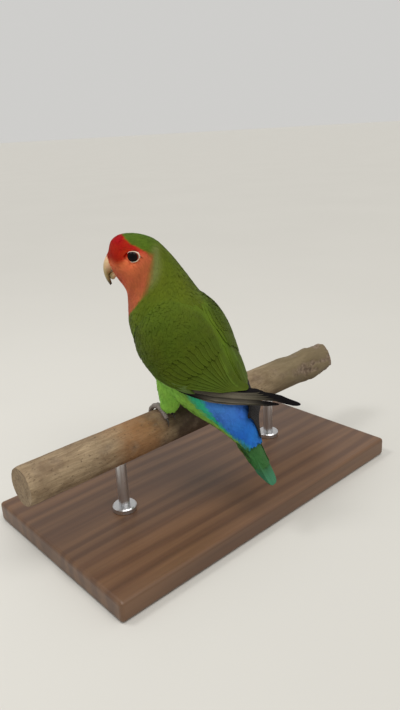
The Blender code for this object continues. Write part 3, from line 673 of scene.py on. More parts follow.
CONTOUR = Vane(((0.0, 0.42), (0.34, 0.95), (0.64, 1.0), (0.86, 0.68), (1.0, 0.14)))
PLUME = Vane(((0.0, 0.5), (0.4, 1.0), (0.75, 0.78), (1.0, 0.1)))
COVERT = Vane(((0.0, 0.45), (0.3, 0.92), (0.6, 1.0), (0.78, 0.9), (0.9, 0.66), (0.96, 0.42), (1.0, 0.12)),
              sides=12)
PRIMARY = Vane(((0.0, 0.34), (0.08, 0.62), (0.2, 0.86), (0.35, 0.97), (0.5, 1.0), (0.64, 0.96),
                (0.74, 0.86), (0.82, 0.74), (0.89, 0.67), (0.94, 0.61), (0.97, 0.50), (0.99, 0.33), (1.0, 0.14)), sides=12)
FLIGHT = Vane(((0.0, 0.34), (0.08, 0.62), (0.2, 0.86), (0.35, 0.97), (0.5, 1.0), (0.64, 1.0),
               (0.76, 0.98), (0.86, 0.93), (0.92, 0.84), (0.96, 0.68), (0.985, 0.46), (1.0, 0.16)), sides=12)
MAP_PATCH = 0.003


class Coat:
    """Feathers gathered from arrays into one joined mesh."""

    def __init__(self, name, vane):
        self.name = name
        self.vane = vane
        self.points = []
        self.colours = []
        self.tones = []
        self.maps = []

    def add(self, surface, u, v, out, half_width, thickness, colours, tone, roll=0.0, unwrap=None,
            trim=None, under=None):
        """Lay feathers whose rows run through u, v and a height out, each (feathers, rows).

        trim is a colour, which edge has it (1 or -1) and how strongly; under is the colour
        and share that the underside takes.
        """
        vane = self.vane
        here, normal, along_u, along_v = surface.frame(u, v)
        shaft = here + normal * out[..., None]
        along = unit(np.gradient(shaft, axis=1))
        normal = unit(normal - along * np.sum(normal * along, axis=-1, keepdims=True))
        side = np.cross(normal, along)
        roll = np.broadcast_to(np.asarray(roll, float), half_width.shape)[:, None, None]
        turned_side = side * np.cos(roll) + normal * np.sin(roll)
        up = normal * np.cos(roll) - side * np.sin(roll)
        reach = (half_width[:, None] * vane.widths)[:, vane.row, None] * vane.across[None, :, None]
        thick = lerp(1.0, 0.5, vane.shares) * thickness
        lift = (thick[vane.row] * vane.lift)[None, :, None]
        self.points.append(shaft[:, vane.row] + turned_side[:, vane.row] * reach + up[:, vane.row] * lift)
        colours = np.asarray(colours)
        if colours.ndim == 2:
            colours = np.repeat(colours[:, None], len(vane.shares), axis=1)
        colours = colours[:, vane.row]
        if trim is not None:
            edge = smoothstep(0.55, 0.95, vane.across * trim[1]) * smoothstep(0.05, 0.3, vane.shares[vane.row])
            colours = mix(colours, trim[0], edge * trim[2])
        if under is not None:
            colours = mix(colours, under[0], np.where(vane.lift < -0.01, under[1], 0.0))
        self.colours.append(colours)
        self.tones.append(np.repeat(tone[:, None], len(vane.row), axis=1))
        root = unwrap if unwrap is not None else np.stack((v[:, 0] / (2.0 * math.pi) % 1.0,
                                                           np.maximum(u[:, 0], 0.0) / LAST_SECTION), axis=-1)
        patch = np.stack((vane.across * 0.5, vane.shares[vane.row] - 0.5), axis=-1) * MAP_PATCH
        self.maps.append(root[:, None] * (1.0 - 2.0 * MAP_PATCH) + MAP_PATCH + patch)

    def count(self):
        return sum(len(block) for block in self.points)

    def build(self, material, slot, *nodes):
        """The joined mesh, riding on the body and standing for nodes."""
        vane = self.vane
        points = np.concatenate(self.points)
        corners = np.array([index for face in vane.faces for index in face])
        sizes = np.array([len(face) for face in vane.faces])
        number = len(points)
        loops = (corners[None] + len(vane.row) * np.arange(number)[:, None]).ravel()
        starts = np.concatenate(((0,), np.cumsum(np.tile(sizes, number))[:-1]))
        mesh = bpy.data.meshes.new(self.name)
        mesh.vertices.add(number * len(vane.row))
        mesh.vertices.foreach_set("co", to_world(points).astype(np.float32).ravel())
        mesh.loops.add(len(loops))
        mesh.loops.foreach_set("vertex_index", loops.astype(np.int32))
        mesh.polygons.add(len(starts))
        mesh.polygons.foreach_set("loop_start", starts.astype(np.int32))
        mesh.update(calc_edges=True)
        own = np.stack((vane.across * 0.5 + 0.5, vane.shares[vane.row]), axis=-1)
        own = np.broadcast_to(own, (number, *own.shape)).reshape(-1, 2)
        bake = np.concatenate(self.maps).reshape(-1, 2)
        for map_name, values in (("UVMap", own), ("OFBake", bake)):
            layer = mesh.uv_layers.new(name=map_name)
            layer.uv.foreach_set("vector", values[loops].astype(np.float32).ravel())
        set_point_colours(mesh, np.concatenate(self.colours).reshape(-1, 3))
        tone = mesh.attributes.new("tone", "FLOAT", "POINT")
        tone.data.foreach_set("value", np.concatenate(self.tones).astype(np.float32).ravel())
        mesh.shade_smooth()
        mesh.set_sharp_from_angle(angle=math.radians(75.0))
        return finish_piece(self.name, mesh, material, slot, *nodes)


def set_point_colours(mesh, colours):
    """Store plumage colours on a mesh's points."""
    layer = mesh.attributes.new("plumage", "FLOAT_COLOR", "POINT")
    opaque = np.concatenate((colours, np.ones((len(colours), 1))), axis=1)
    layer.data.foreach_set("color", opaque.astype(np.float32).ravel())


def finish_piece(name, mesh, material, slot, *nodes):
    """Show a mesh as a piece of the part that stands for nodes."""
    piece = bpy.data.objects.new(name, mesh)
    bpy.context.scene.collection.objects.link(piece)
    if material is not None:
        mesh.materials.append(material)
    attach(piece, "root")
    if nodes:
        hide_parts(*nodes)
    return piece


BODY = BodySurface()


def scatter(surface, u_range, v_range, spacing, keep=None):
    """Roots spread over a surface, each the spacing apart that spacing(u, v) gives."""
    rows = 160
    columns = 120
    u, v = np.meshgrid(np.linspace(*u_range, rows), np.linspace(*v_range, columns), indexing="ij")
    here, normal, along, across = surface.frame(u, v)
    cell = (u_range[1] - u_range[0]) / (rows - 1) * (v_range[1] - v_range[0]) / (columns - 1)
    area = np.linalg.norm(np.cross(along, across), axis=-1) * cell
    gaps = spacing(u, v)
    weight = (area / gaps ** 2).ravel()
    tries = int(weight.sum() * 5.0)
    chosen = rng.choice(len(weight), size=tries, p=weight / weight.sum())
    u = u.ravel()[chosen] + (rng.random(tries) - 0.5) * (u_range[1] - u_range[0]) / rows
    v = v.ravel()[chosen] + (rng.random(tries) - 0.5) * (v_range[1] - v_range[0]) / columns
    points = surface.frame(u, v)[0]
    gaps = spacing(u, v)
    size = float(gaps.max())
    cells = {}
    kept = []
    keys = np.floor(points / size).astype(int)
    for i in range(tries):
        x, y, z = keys[i]
        clear = True
        limit = gaps[i] * gaps[i]
        px, py, pz = points[i]
        for dx in (-1, 0, 1):
            for dy in (-1, 0, 1):
                for dz in (-1, 0, 1):
                    for qx, qy, qz in cells.get((x + dx, y + dy, z + dz), ()):
                        if (px - qx) ** 2 + (py - qy) ** 2 + (pz - qz) ** 2 < limit:
                            clear = False
                            break
                    if not clear:
                        break
                if not clear:
                    break
            if not clear:
                break
        if clear:
            cells.setdefault((x, y, z), []).append((px, py, pz))
            kept.append(i)
    u = u[kept]
    v = v[kept]
    if keep is not None:
        wanted = keep(u, v)
        u = u[wanted]
        v = v[wanted]
    return u, v


def run_on(surface, u, v, length, heading, shares):
    """Rows of u and v that follow a surface from its roots over a length, in mm."""
    rows_u = [u]
    rows_v = [v]
    for low, high in zip(shares[:-1], shares[1:]):
        here, normal, along, across = surface.frame(rows_u[-1], rows_v[-1])
        step = length * (high - low)
        rows_u.append(rows_u[-1] + step * np.cos(heading) / np.linalg.norm(along, axis=-1))
        rows_v.append(rows_v[-1] + step * np.sin(heading) / np.linalg.norm(across, axis=-1))
    return np.stack(rows_u, axis=1), np.stack(rows_v, axis=1)


def coat_depth(s):
    """How deep the skin lies under the tips of the feathers."""
    return lerp(0.45, 1.35, smoothstep(0.5, 7.5, s)) * lerp(1.0, 0.6, smoothstep(11.5, 13.6, s))


# The skin

def ring_prism(segments, rows):
    """A closed prism along z from 0 to 1, cut into rows."""
    shape = bmesh.new()
    bmesh.ops.create_cone(shape, cap_ends=True, segments=segments, radius1=1.0, radius2=1.0, depth=1.0)
    long_edges = [edge for edge in shape.edges if abs(edge.verts[0].co.z - edge.verts[1].co.z) > 0.5]
    bmesh.ops.subdivide_edges(shape, edges=long_edges, cuts=rows - 1)
    bmesh.ops.translate(shape, verts=shape.verts, vec=(0.0, 0.0, 0.5))
    return shape


def shape_points(shape):
    """The points of a bmesh as an array."""
    return np.array([vertex.co for vertex in shape.verts])


def place_points(shape, points):
    """Move the points of a bmesh to an array, in metres."""
    for vertex, point in zip(shape.verts, points):
        vertex.co = point


def build_skin():
    """One skin for the head, neck, torso, tail root and thighs."""
    shape = bmesh.new()
    bmesh.ops.create_uvsphere(shape, u_segments=64, v_segments=90, radius=1.0)
    ball = shape_points(shape)
    t = np.arccos(np.clip(ball[:, 2], -1.0, 1.0)) / math.pi
    s = lerp(FIRST_SECTION, LAST_SECTION, t)
    angle = np.arctan2(ball[:, 1], ball[:, 0])
    here, normal, along, across = BODY.frame(s, angle)
    middle = (here + BODY.point(s, angle + math.pi)) / 2.0
    closing = np.sqrt(np.clip(1.0 - (1.0 - np.minimum((s - FIRST_SECTION) / 0.2, 1.0)) ** 2, 0.0, 1.0))
    closing *= np.sqrt(np.clip(1.0 - (1.0 - np.minimum((LAST_SECTION - s) / 0.5, 1.0)) ** 2, 0.0, 1.0))
    points = middle + (here - normal * coat_depth(s)[:, None] - middle) * closing[:, None]
    place_points(shape, to_world(points))
    for side in (1.0, -1.0):
        thigh = ring_prism(32, 16)
        rows = shape_points(thigh)
        t = lerp(-0.3, 0.9, rows[:, 2])
        surface = ThighSurface(side)
        here, normal, along, across = surface.frame(t, np.arctan2(rows[:, 1], rows[:, 0]))
        place_points(thigh, to_world(here - normal * 1.6))
        piece = bpy.data.meshes.new("thigh_part")
        thigh.to_mesh(piece)
        thigh.free()
        shape.from_mesh(piece)
        bpy.data.meshes.remove(piece)
    bmesh.ops.recalc_face_normals(shape, faces=shape.faces)
    mesh = bpy.data.meshes.new("skin")
    shape.to_mesh(mesh)
    shape.free()
    piece = bpy.data.objects.new("skin_maker", mesh)
    bpy.context.scene.collection.objects.link(piece)
    remesh = piece.modifiers.new("Remesh", "REMESH")
    remesh.mode = "VOXEL"
    remesh.voxel_size = 0.8 * MM
    smooth = piece.modifiers.new("Smooth", "SMOOTH")
    smooth.factor = 0.5
    smooth.iterations = 3
    graph = bpy.context.evaluated_depsgraph_get()
    final = bpy.data.meshes.new_from_object(piece.evaluated_get(graph))
    bpy.data.objects.remove(piece)
    final.name = "skin"
    s, angle = nearest_on_body(final)
    set_point_colours(final, body_colours(s, angle))
    add_body_map(final, s, angle)
    final.shade_smooth()
    return finish_piece("skin", final, skin_material(), "torso", "head", "neck", "torso")


def nearest_on_body(mesh):
    """Section and angle of the body's surface nearest to each point of a mesh."""
    s, angle = np.meshgrid(np.arange(FIRST_SECTION, LAST_SECTION + 0.01, 0.1),
                           np.linspace(-math.pi, math.pi, 97)[:-1], indexing="ij")
    s = s.ravel()
    angle = angle.ravel()
    samples = to_world(BODY.point(s, angle))
    tree = kdtree.KDTree(len(samples))
    for i, point in enumerate(samples):
        tree.insert(point, i)
    tree.balance()
    found = np.array([tree.find(vertex.co)[1] for vertex in mesh.vertices])
    return s[found], angle[found]


def add_body_map(mesh, s, angle):
    """The unwrap of the body, section against angle, as the map OFBake."""
    corners = np.zeros(len(mesh.loops), np.int32)
    mesh.loops.foreach_get("vertex_index", corners)
    places = np.stack((angle / (2.0 * math.pi) % 1.0, np.maximum(s, 0.0) / LAST_SECTION), axis=-1)
    layer = mesh.uv_layers.new(name="OFBake")
    layer.uv.foreach_set("vector", places[corners].astype(np.float32).ravel())


# Coats of the head, neck and body

def lid_reach(round_eye):
    """Inner and outer radius of the ring of bare skin, at an angle from the eye's corner."""
    almond = np.cos(2.0 * round_eye)
    high = np.sin(round_eye)
    return LID_INNER + 0.40 * almond + 0.18 * np.maximum(high, 0.0), LID_OUTER + 0.54 * almond - 0.08 * high


def beside_eye(points):
    """How far points lie outside the ring of the nearer eye, and the way out from its middle."""
    gap = np.full(points.shape[:-1], np.inf)
    way = np.zeros(points.shape)
    for side in (1.0, -1.0):
        centre, axis = eye_place(side)
        level = unit(np.cross((0.0, 0.0, 1.0), axis))
        up = np.cross(axis, level)
        away = points - centre
        x = away @ level
        y = away @ up
        inner, outer = lid_reach(np.arctan2(y, x))
        here = np.where(away @ axis > 0.0, np.hypot(x, y) - outer, np.inf)
        nearer = here < gap
        gap = np.where(nearer, here, gap)
        way = np.where(nearer[..., None], unit(x[..., None] * level + y[..., None] * up), way)
    return gap, way


def eye_place(side):
    """Centre and outward axis of an eye in the bird frame."""
    mirror = np.array((1.0, side, 1.0))
    pivot = np.array((NECK_PIVOT_X, 0.0, 0.0))
    centre = turned(EYE_CENTRE * mirror, 1.0)
    axis = unit(turned(EYE_AXIS * mirror + pivot, 1.0) - pivot)
    return centre, axis


def round_eye_heading(u, v, heading):
    """Feathers in front of an eye part and run round it."""
    here, normal, along, across = BODY.frame(u, v)
    gap, way = beside_eye(here)
    along = unit(along)
    across = unit(across)
    ahead = np.sum(way * along, axis=-1) < 0.3
    pull = np.where(ahead, 1.4 * np.exp(-np.maximum(gap, 0.0) / 1.6), 0.0)
    aim = along + pull[:, None] * (way - along * np.minimum(np.sum(way * along, axis=-1), 0.0)[:, None])
    return heading + np.arctan2(np.sum(aim * across, axis=-1), np.sum(aim * along, axis=-1))


def body_coat(name, vane, s_range, spacing, length, width, slope, thickness):
    """Feathers over a stretch of the body, rising from the skin by a slope."""
    coat = Coat(name, vane)
    u, v = scatter(BODY, s_range, (-math.pi, math.pi), spacing,
                   lambda s, angle: beside_eye(BODY.point(s, angle))[0] > 0.0)
    number = len(u)
    long = length(u) * rng.uniform(0.85, 1.15, number)
    heading = round_eye_heading(u, v, rng.normal(0.0, 0.10, number))
    rows_u, rows_v = run_on(BODY, u, v, long, heading, vane.shares)
    for cut in (0.65, 0.4):
        gap = beside_eye(BODY.point(rows_u[:, -1], rows_v[:, -1]))[0]
        long = np.where(gap < 0.0, length(u) * cut, long)
        rows_u, rows_v = run_on(BODY, u, v, long, heading, vane.shares)
    kept = beside_eye(BODY.point(rows_u[:, -1], rows_v[:, -1]))[0] > -0.1
    u, long, rows_u, rows_v = u[kept], long[kept], rows_u[kept], rows_v[kept]
    number = len(u)
    share = vane.shares[None]
    lift = rng.normal(0.0, 0.008, number) * long
    out = -slope * long[:, None] * (1.0 - share) ** 1.4 - 0.05 + lift[:, None] * share
    coat.add(BODY, rows_u, rows_v, out, width(u) * rng.uniform(0.85, 1.1, number), thickness,
             body_colours(rows_u, rows_v), rng.normal(0.0, 0.04, number), rng.normal(0.0, 0.07, number))
    print(name, number, "feathers,", number * vane.triangles(), "triangles")
    return coat


def growing(low, high, start, end):
    """A size that grows smoothly between two sections of the body."""
    return lambda s, angle=None: lerp(start, end, smoothstep(low, high, s))


def build_body_coats(material):
    """Small plumes on the face, growing to broad contour feathers on the body."""
    body_coat("coat_face", PLUME, (FIRST_SECTION, 3.0), growing(-0.4, 3.0, 0.44, 0.62),
              growing(-0.4, 3.0, 1.7, 3.4), growing(-0.4, 3.0, 0.32, 0.50), 0.11, 0.08).build(material, "head")
    body_coat("coat_crown", PLUME, (3.0, 4.8), growing(3.0, 4.8, 0.62, 0.72),
              growing(3.0, 4.8, 3.4, 4.6), growing(3.0, 4.8, 0.50, 0.68), 0.12, 0.09).build(material, "head")
    body_coat("coat_neck", CONTOUR, (4.8, 7.4), growing(4.8, 7.4, 0.76, 1.0),
              growing(4.8, 7.4, 4.6, 6.4), growing(4.8, 7.4, 0.72, 1.1), 0.13, 0.11).build(material, "neck")
    body_coat("coat_body", CONTOUR, (7.4, 11.2), growing(7.4, 9.0, 1.05, 1.25),
              growing(7.4, 9.0, 6.4, 7.4), growing(7.4, 9.0, 1.15, 1.45), 0.14, 0.12).build(material, "torso")
    body_coat("coat_rump", CONTOUR, (11.2, 13.25), growing(11.2, 13.2, 1.15, 1.0),
              growing(11.2, 13.2, 7.6, 6.2), growing(11.2, 13.2, 1.45, 1.25), 0.14, 0.12).build(material, "torso")


def build_thigh_coats(material):
    """Feathers down each thigh."""
    for side, name in ((1.0, "left"), (-1.0, "right")):
        surface = ThighSurface(side)
        coat = Coat("coat_thigh_" + name, CONTOUR)
        u, v = scatter(surface, (-0.30, 0.93), (-math.pi, math.pi), lambda t, a: np.full_like(t, 0.85))
        number = len(u)
        long = rng.uniform(3.6, 6.2, number)
        rows_u, rows_v = run_on(surface, u, v, long, rng.normal(0.0, 0.13, number), CONTOUR.shares)
        share = CONTOUR.shares[None]
        out = -1.1 * (1.0 - share) ** 1.5 + rng.normal(0.0, 0.12, number)[:, None] * share
        out = out - 1.9 * smoothstep(0.92, 1.2, rows_u)
        bright = BELLY_GREEN * np.ones((number, 1))
        coat.add(surface, rows_u, rows_v, out, rng.uniform(0.55, 0.95, number), 0.12, bright,
                 rng.normal(0.0, 0.05, number), rng.normal(0.0, 0.1, number),
                 np.stack((v / (2.0 * math.pi) % 1.0, (u + 0.4) / 1.4), axis=-1))
        print(coat.name, number, "feathers")
        coat.build(material, "leg_" + name, "leg_" + name)


# Wings

def wing_rim(a, b):
    """How much of its height the wing keeps towards its edges: little where it leaves the shoulder."""
    front = smoothstep(-0.03, 0.28, a)
    lower = lerp(lerp(0.12, 0.60, smoothstep(0.10, 0.34, a)), 1.0, smoothstep(0.0, 0.17, b))
    inwards = lerp(0.60, 0.84, smoothstep(0.2, 0.42, a))
    upper = lerp(lerp(0.12, 0.62, smoothstep(0.15, 0.45, a)), 1.0, smoothstep(1.0, inwards, b))
    return np.minimum(np.minimum(front, lower), upper)


def wing_colours(a, b):
    """Colour of the coverts and secondaries over the wing, with painted shade along its middle, painted light on its
    upper part and a pale back edge that is partly feather fringe and partly painted highlight.
    """
    # painted shade: the wing darker from the shoulder back along its middle
    colour = mix(WING_GREEN, WING_GREEN_PAINTED_SHADE, smoothstep(0.08, 0.3, a))
    # painted light: the upper part of the wing lighter where light falls on it from above
    colour = mix(colour, WING_GREEN_PAINTED_LIGHT, smoothstep(0.80, 0.94, b) * smoothstep(0.1, 0.3, a))
    shaded = smoothstep(0.22, 0.04, b) * smoothstep(0.28, 0.5, a)
    colour = mix(colour, WING_SHADE, shaded)
    colour = mix(colour, SECONDARY_GREEN, smoothstep(0.5, 0.68, a))
    # pale line along the back edge: partly the feathers' pale fringes, partly a painted highlight
    return mix(colour, WING_EDGE_AND_HIGHLIGHT, 0.7 * smoothstep(0.955, 0.985, b) * smoothstep(0.26, 0.36, a) * smoothstep(0.6, 0.45, a))


def primary_colours(a, b):
    """Blackish primaries, olive on their outer webs in the middle and dark along the wing's edge."""
    dark = np.maximum(smoothstep(0.77, 0.87, a), smoothstep(0.10, 0.06, b) * smoothstep(0.68, 0.60, a))
    return mix(PRIMARY_OLIVE, PRIMARY_BLACK, np.maximum(dark, smoothstep(0.40, 0.60, b)))


def crossed_primary_colours(a, b):
    """The same for the wing that is folded under: black wherever it shows."""
    return mix(PRIMARY_OLIVE, PRIMARY_BLACK, smoothstep(0.40, 0.56, a))


class Tier:
    """Where a row of wing feathers lies: its first and last (root a, root b, tip a, tip b, half width)."""

    def __init__(self, count, first, last, heights, colour_of, trim, jitter=0.0, trim_from=-1.0):
        self.count = count
        self.first = np.array(first)
        self.last = np.array(last)
        self.heights = heights
        self.colour_of = colour_of
        self.trim = trim
        self.jitter = jitter
        self.trim_from = trim_from

    def lay(self, coat, surface, side, tips=None, reach=1.0):
        """Lay the row over a wing, each feather a little over the one nearer the leading edge."""
        shares = coat.vane.shares
        step = np.arange(self.count) / (self.count - 1)
        rows = lerp(self.first, self.last, step[:, None])
        rows[:, 0] += rng.normal(0.0, self.jitter, self.count)
        rows[:, 2] += rng.normal(0.0, self.jitter, self.count)
        rows[:, 2] *= reach
        droop = np.zeros((self.count, 1))
        if tips is not None:
            rows[:, 2:5] = tips[:, 0:3]
            droop = tips[:, 3:4]
        a = lerp(rows[:, 0:1], rows[:, 2:3], shares[None])
        b = lerp(rows[:, 1:2], rows[:, 3:4], shares[None] ** 1.25) - droop * smoothstep(0.78, 1.0, shares[None])
        out = lerp(*self.heights, step)[:, None] - 0.8 * (1.0 - np.minimum(1.0, 2.5 * shares[None]))
        out = lerp(ROOT_DEPTH, out, wing_rim(a, b))
        worn = smoothstep(0.92, 0.74, a) * smoothstep(self.trim_from, self.trim_from + 0.1, a)
        coat.add(surface, a, b, out, rows[:, 4] * rng.uniform(0.96, 1.04, self.count), 0.15,
                 self.colour_of(a, b), rng.normal(0.0, 0.025, self.count), -0.08 * side,
                 np.stack((b[:, 0], a[:, 0]), axis=-1),
                 (self.trim[0], -side, self.trim[1] * worn[:, coat.vane.row]), (UNDER_WING, 0.7))


PRIMARY_PLACES = np.array((      # tip a, tip b, half width, droop of the tip
    (0.905, 0.04, 1.9, 0.0),
    (0.918, 0.16, 1.7, 0.0),
    (0.985, 0.78, 2.2, 0.34),
    (1.000, 0.86, 2.4, 0.44),
    (0.925, 0.64, 1.9, 0.0),
    (0.900, 0.64, 2.2, 0.0),
    (0.870, 0.68, 2.3, 0.0),
    (0.840, 0.72, 2.3, 0.0),
    (0.810, 0.76, 2.3, 0.0),
    (0.785, 0.80, 2.3, 0.0),
))
RIGHT_PRIMARY_PLACES = np.stack((np.linspace(0.99, 0.80, 10), np.linspace(0.20, 0.95, 10),
                                 np.full(10, 2.4), np.zeros(10)), axis=-1)
PRIMARIES = Tier(10, (0.40, -0.005, 0.0, 0.0, 2.5), (0.54, 0.40, 0.0, 0.0, 2.4), (1.5, 2.3),
                 primary_colours, (tint(112, 106, 88), 0.65), trim_from=0.60)
CROSSED_PRIMARIES = Tier(10, (0.40, -0.005, 0.0, 0.0, 2.5), (0.54, 0.40, 0.0, 0.0, 2.4), (1.5, 2.3),
                         crossed_primary_colours, (tint(44, 38, 36), 0.4), trim_from=0.60)
SECONDARIES = Tier(10, (0.42, 0.17, 0.66, 0.50, 2.5), (0.42, 0.84, 0.722, 0.84, 2.6), (2.75, 3.1),
                   wing_colours, (tint(80, 98, 30), 0.45))
TERTIALS = Tier(5, (0.42, 0.82, 0.722, 0.87, 2.5), (0.36, 0.95, 0.69, 0.955, 2.2), (3.15, 3.35),
                wing_colours, (tint(92, 118, 36), 0.5), 0.006)
ALULA = Tier(4, (0.24, 0.0, 0.50, 0.015, 1.3), (0.24, 0.08, 0.44, 0.10, 1.5), (2.3, 2.7),
             wing_colours, (tint(132, 160, 96), 0.9))
PRIMARY_COVERTS = Tier(9, (0.36, 0.02, 0.575, 0.06, 1.2), (0.32, 0.17, 0.51, 0.24, 1.7), (2.4, 2.9),
                       wing_colours, (tint(124, 150, 92), 0.55))
GREATER_COVERTS = Tier(16, (0.30, 0.11, 0.51, 0.13, 2.0), (0.27, 0.94, 0.43, 0.93, 2.0), (3.0, 3.25),
                       wing_colours, (tint(82, 100, 30), 0.3), 0.010)
MEDIAN_COVERTS = Tier(18, (0.21, 0.05, 0.40, 0.07, 1.7), (0.19, 0.96, 0.35, 0.95, 1.8), (3.1, 3.35),
                      wing_colours, (tint(80, 98, 28), 0.25), 0.012)
UNDER_WING = tint(26, 25, 24)
ROOT_DEPTH = -0.9       # of the wing's feathers in the body's coat, along the wing's rim
SHOULDER_AIM = (0.62, 0.50)     # the place on a wing that its small coverts point at
LEFT_REACH = 1.0        # how far a wing's green feathers reach along it
RIGHT_REACH = 0.92


def heading_to(surface, u, v, aim):
    """Which way feathers at u, v turn from u towards v to point at a place of the surface."""
    here, normal, along, across = surface.frame(u, v)
    target = surface.frame(*aim)[0]
    way = unit(target - here)
    along = unit(along)
    across = unit(across)
    skew = np.sum(along * across, axis=-1)
    ahead = np.sum(way * along, axis=-1)
    aside = np.sum(way * across, axis=-1)
    return np.arctan2(aside - ahead * skew, ahead - aside * skew)


def build_wing(name, side, edge, back, reach, primary_row, places, soft, stiff):
    """One folded wing: the pad under it, flight feathers, and coverts in rows."""
    surface = WingSurface(side, edge, back)
    build_wing_pad("wing_pad_" + name, surface, "wing_" + name)
    primaries = Coat("primaries_" + name, PRIMARY)
    primary_row.lay(primaries, surface, side, places)
    primaries.build(stiff, "wing_" + name)
    flights = Coat("flight_" + name, FLIGHT)
    SECONDARIES.lay(flights, surface, side, reach=reach)
    TERTIALS.lay(flights, surface, side, reach=reach)
    flights.build(stiff, "wing_" + name, "wing_" + name)
    coverts = Coat("coverts_" + name, COVERT)
    for row in (ALULA, PRIMARY_COVERTS, GREATER_COVERTS, MEDIAN_COVERTS):
        row.lay(coverts, surface, side)
    coverts.build(stiff, "wing_" + name)
    lesser = Coat("lesser_coverts_" + name, CONTOUR)
    u, v = scatter(surface, (0.0, 0.31), (0.0, 1.0), lambda a, b: np.full_like(a, 1.05))
    number = len(u)
    long = rng.uniform(4.2, 5.4, number)
    heading = heading_to(surface, u, v, SHOULDER_AIM) + rng.normal(0.0, 0.07, number)
    rows_u, rows_v = run_on(surface, u, v, long, heading, CONTOUR.shares)
    share = CONTOUR.shares[None]
    out = lerp(ROOT_DEPTH, 3.45, wing_rim(rows_u, rows_v)) + rng.normal(0.0, 0.025, number)[:, None]
    out = out - 0.7 * (1.0 - share) ** 1.5
    lesser.add(surface, rows_u, rows_v, out, rng.uniform(1.0, 1.3, number), 0.12,
               wing_colours(rows_u, rows_v), rng.normal(0.0, 0.035, number),
               rng.normal(0.0, 0.05, number), np.stack((v, u), axis=-1))
    print(lesser.name, number, "feathers")
    lesser.build(soft, "wing_" + name)


def build_wing_pad(name, surface, slot):
    """The flesh and down of a wing, a closed sheet under its feathers."""
    shape = bmesh.new()
    bmesh.ops.create_grid(shape, x_segments=60, y_segments=30, size=0.5)
    top = shape.verts[:]
    made = bmesh.ops.extrude_face_region(shape, geom=shape.faces[:])
    under = [item for item in made["geom"] if isinstance(item, bmesh.types.BMVert)]
    places = shape_points(shape)
    shape.verts.index_update()
    lower = np.zeros(len(places), bool)
    lower[[vertex.index for vertex in under]] = True
    a = lerp(0.03, 0.68, places[:, 0] + 0.5)
    b = lerp(lerp(0.025, 0.24, smoothstep(0.42, 0.58, a)), 0.975, places[:, 1] + 0.5)
    here, rise, along, across = surface.frame(a, b)
    crown = lerp(-1.2, 2.3, wing_rim(a, b))
    crown = lerp(crown, 1.7, smoothstep(0.5, 0.7, a))
    floor = lerp(-1.9, 1.2, smoothstep(*WING_LEAVES_BODY, a))
    height = np.where(lower, floor, crown)
    place_points(shape, to_world(here + rise * height[:, None]))
    bmesh.ops.recalc_face_normals(shape, faces=shape.faces)
    mesh = bpy.data.meshes.new(name)
    shape.to_mesh(mesh)
    shape.free()
    set_point_colours(mesh, wing_colours(a, b))
    corners = np.zeros(len(mesh.loops), np.int32)
    mesh.loops.foreach_get("vertex_index", corners)
    layer = mesh.uv_layers.new(name="OFBake")
    layer.uv.foreach_set("vector", np.stack((b, a), axis=-1)[corners].astype(np.float32).ravel())
    mesh.shade_smooth()
    mesh.set_sharp_from_angle(angle=math.radians(60.0))
    finish_piece(name, mesh, bpy.data.materials["under_down"], slot)


# Tail

def tail_root_colours(u, angle):
    """Blue running out into green above, yellowish olive below."""
    rise = np.degrees(np.arcsin(np.sin(angle)))
    edge = 0.24 * smoothstep(5.0, 60.0, rise) - 0.16
    top = mix(DEEP_BLUE, TAIL_GREEN, smoothstep(edge - 0.08, edge + 0.12, u))
    return mix(top, VENT_OLIVE, smoothstep(-5.0, -35.0, rise) * smoothstep(0.45, 0.25, u))


def build_tail(soft, stiff):
    """Twelve tail feathers, the middle pair on top, and the long coverts over their roots."""
    surface = TailSurface()
    coat = Coat("tail_feathers", FLIGHT)
    shares = FLIGHT.shares[None]
    pairs = 6
    for i in range(pairs):
        share = i / (pairs - 1)
        end = lerp(1.0, 0.77, share ** 1.5)
        for side in (1.0, -1.0):
            u = lerp(0.0, end, shares)
            v = side * (lerp(0.9, 3.7, share) - lerp(0.1, 1.3, share) * u)
            rise = lerp(1.0, -1.0, share) + (0.16 if side > 0.0 else 0.0)
            out = rise * lerp(0.7, 1.0, shares)
            colour = mix(TAIL_GREEN, TAIL_TEAL, smoothstep(0.50, 0.96, u / end))
            coat.add(surface, u, v, out, np.array((3.3,)), 0.32, colour,
                     rng.normal(0.0, 0.02, 1), -0.10 * side,
                     np.stack((v[:, 0] * 0.02 + 0.5, u[:, 0]), axis=-1),
                     (tint(74, 122, 74), side, 0.5), (tint(112, 128, 84), 0.6))
    coat.build(stiff, "tail", "tail")
    coat = Coat("tail_coverts", CONTOUR)
    surface = TailRootSurface()
    u, v = scatter(surface, (-0.04, 0.42), (-math.pi, math.pi), lambda u, v: np.full_like(u, 1.1))
    number = len(u)
    long = rng.uniform(7.5, 9.5, number)
    rows_u, rows_v = run_on(surface, u, v, long, rng.normal(0.0, 0.06, number), CONTOUR.shares)
    out = rng.normal(0.0, 0.05, number)[:, None] - 1.1 * (1.0 - CONTOUR.shares[None]) ** 1.4
    out = out - 0.3 + 0.8 * smoothstep(0.15, 0.45, rows_u)
    coat.add(surface, rows_u, rows_v, out, rng.uniform(1.2, 1.6, number), 0.2, tail_root_colours(rows_u, rows_v),
             rng.normal(0.0, 0.035, number), rng.normal(0.0, 0.07, number),
             np.stack((v / (2.0 * math.pi) % 1.0, np.clip(u + 0.2, 0.0, 1.0)), axis=-1))
    print(coat.name, number, "feathers")
    coat.build(soft, "tail")


# Bill and eyes

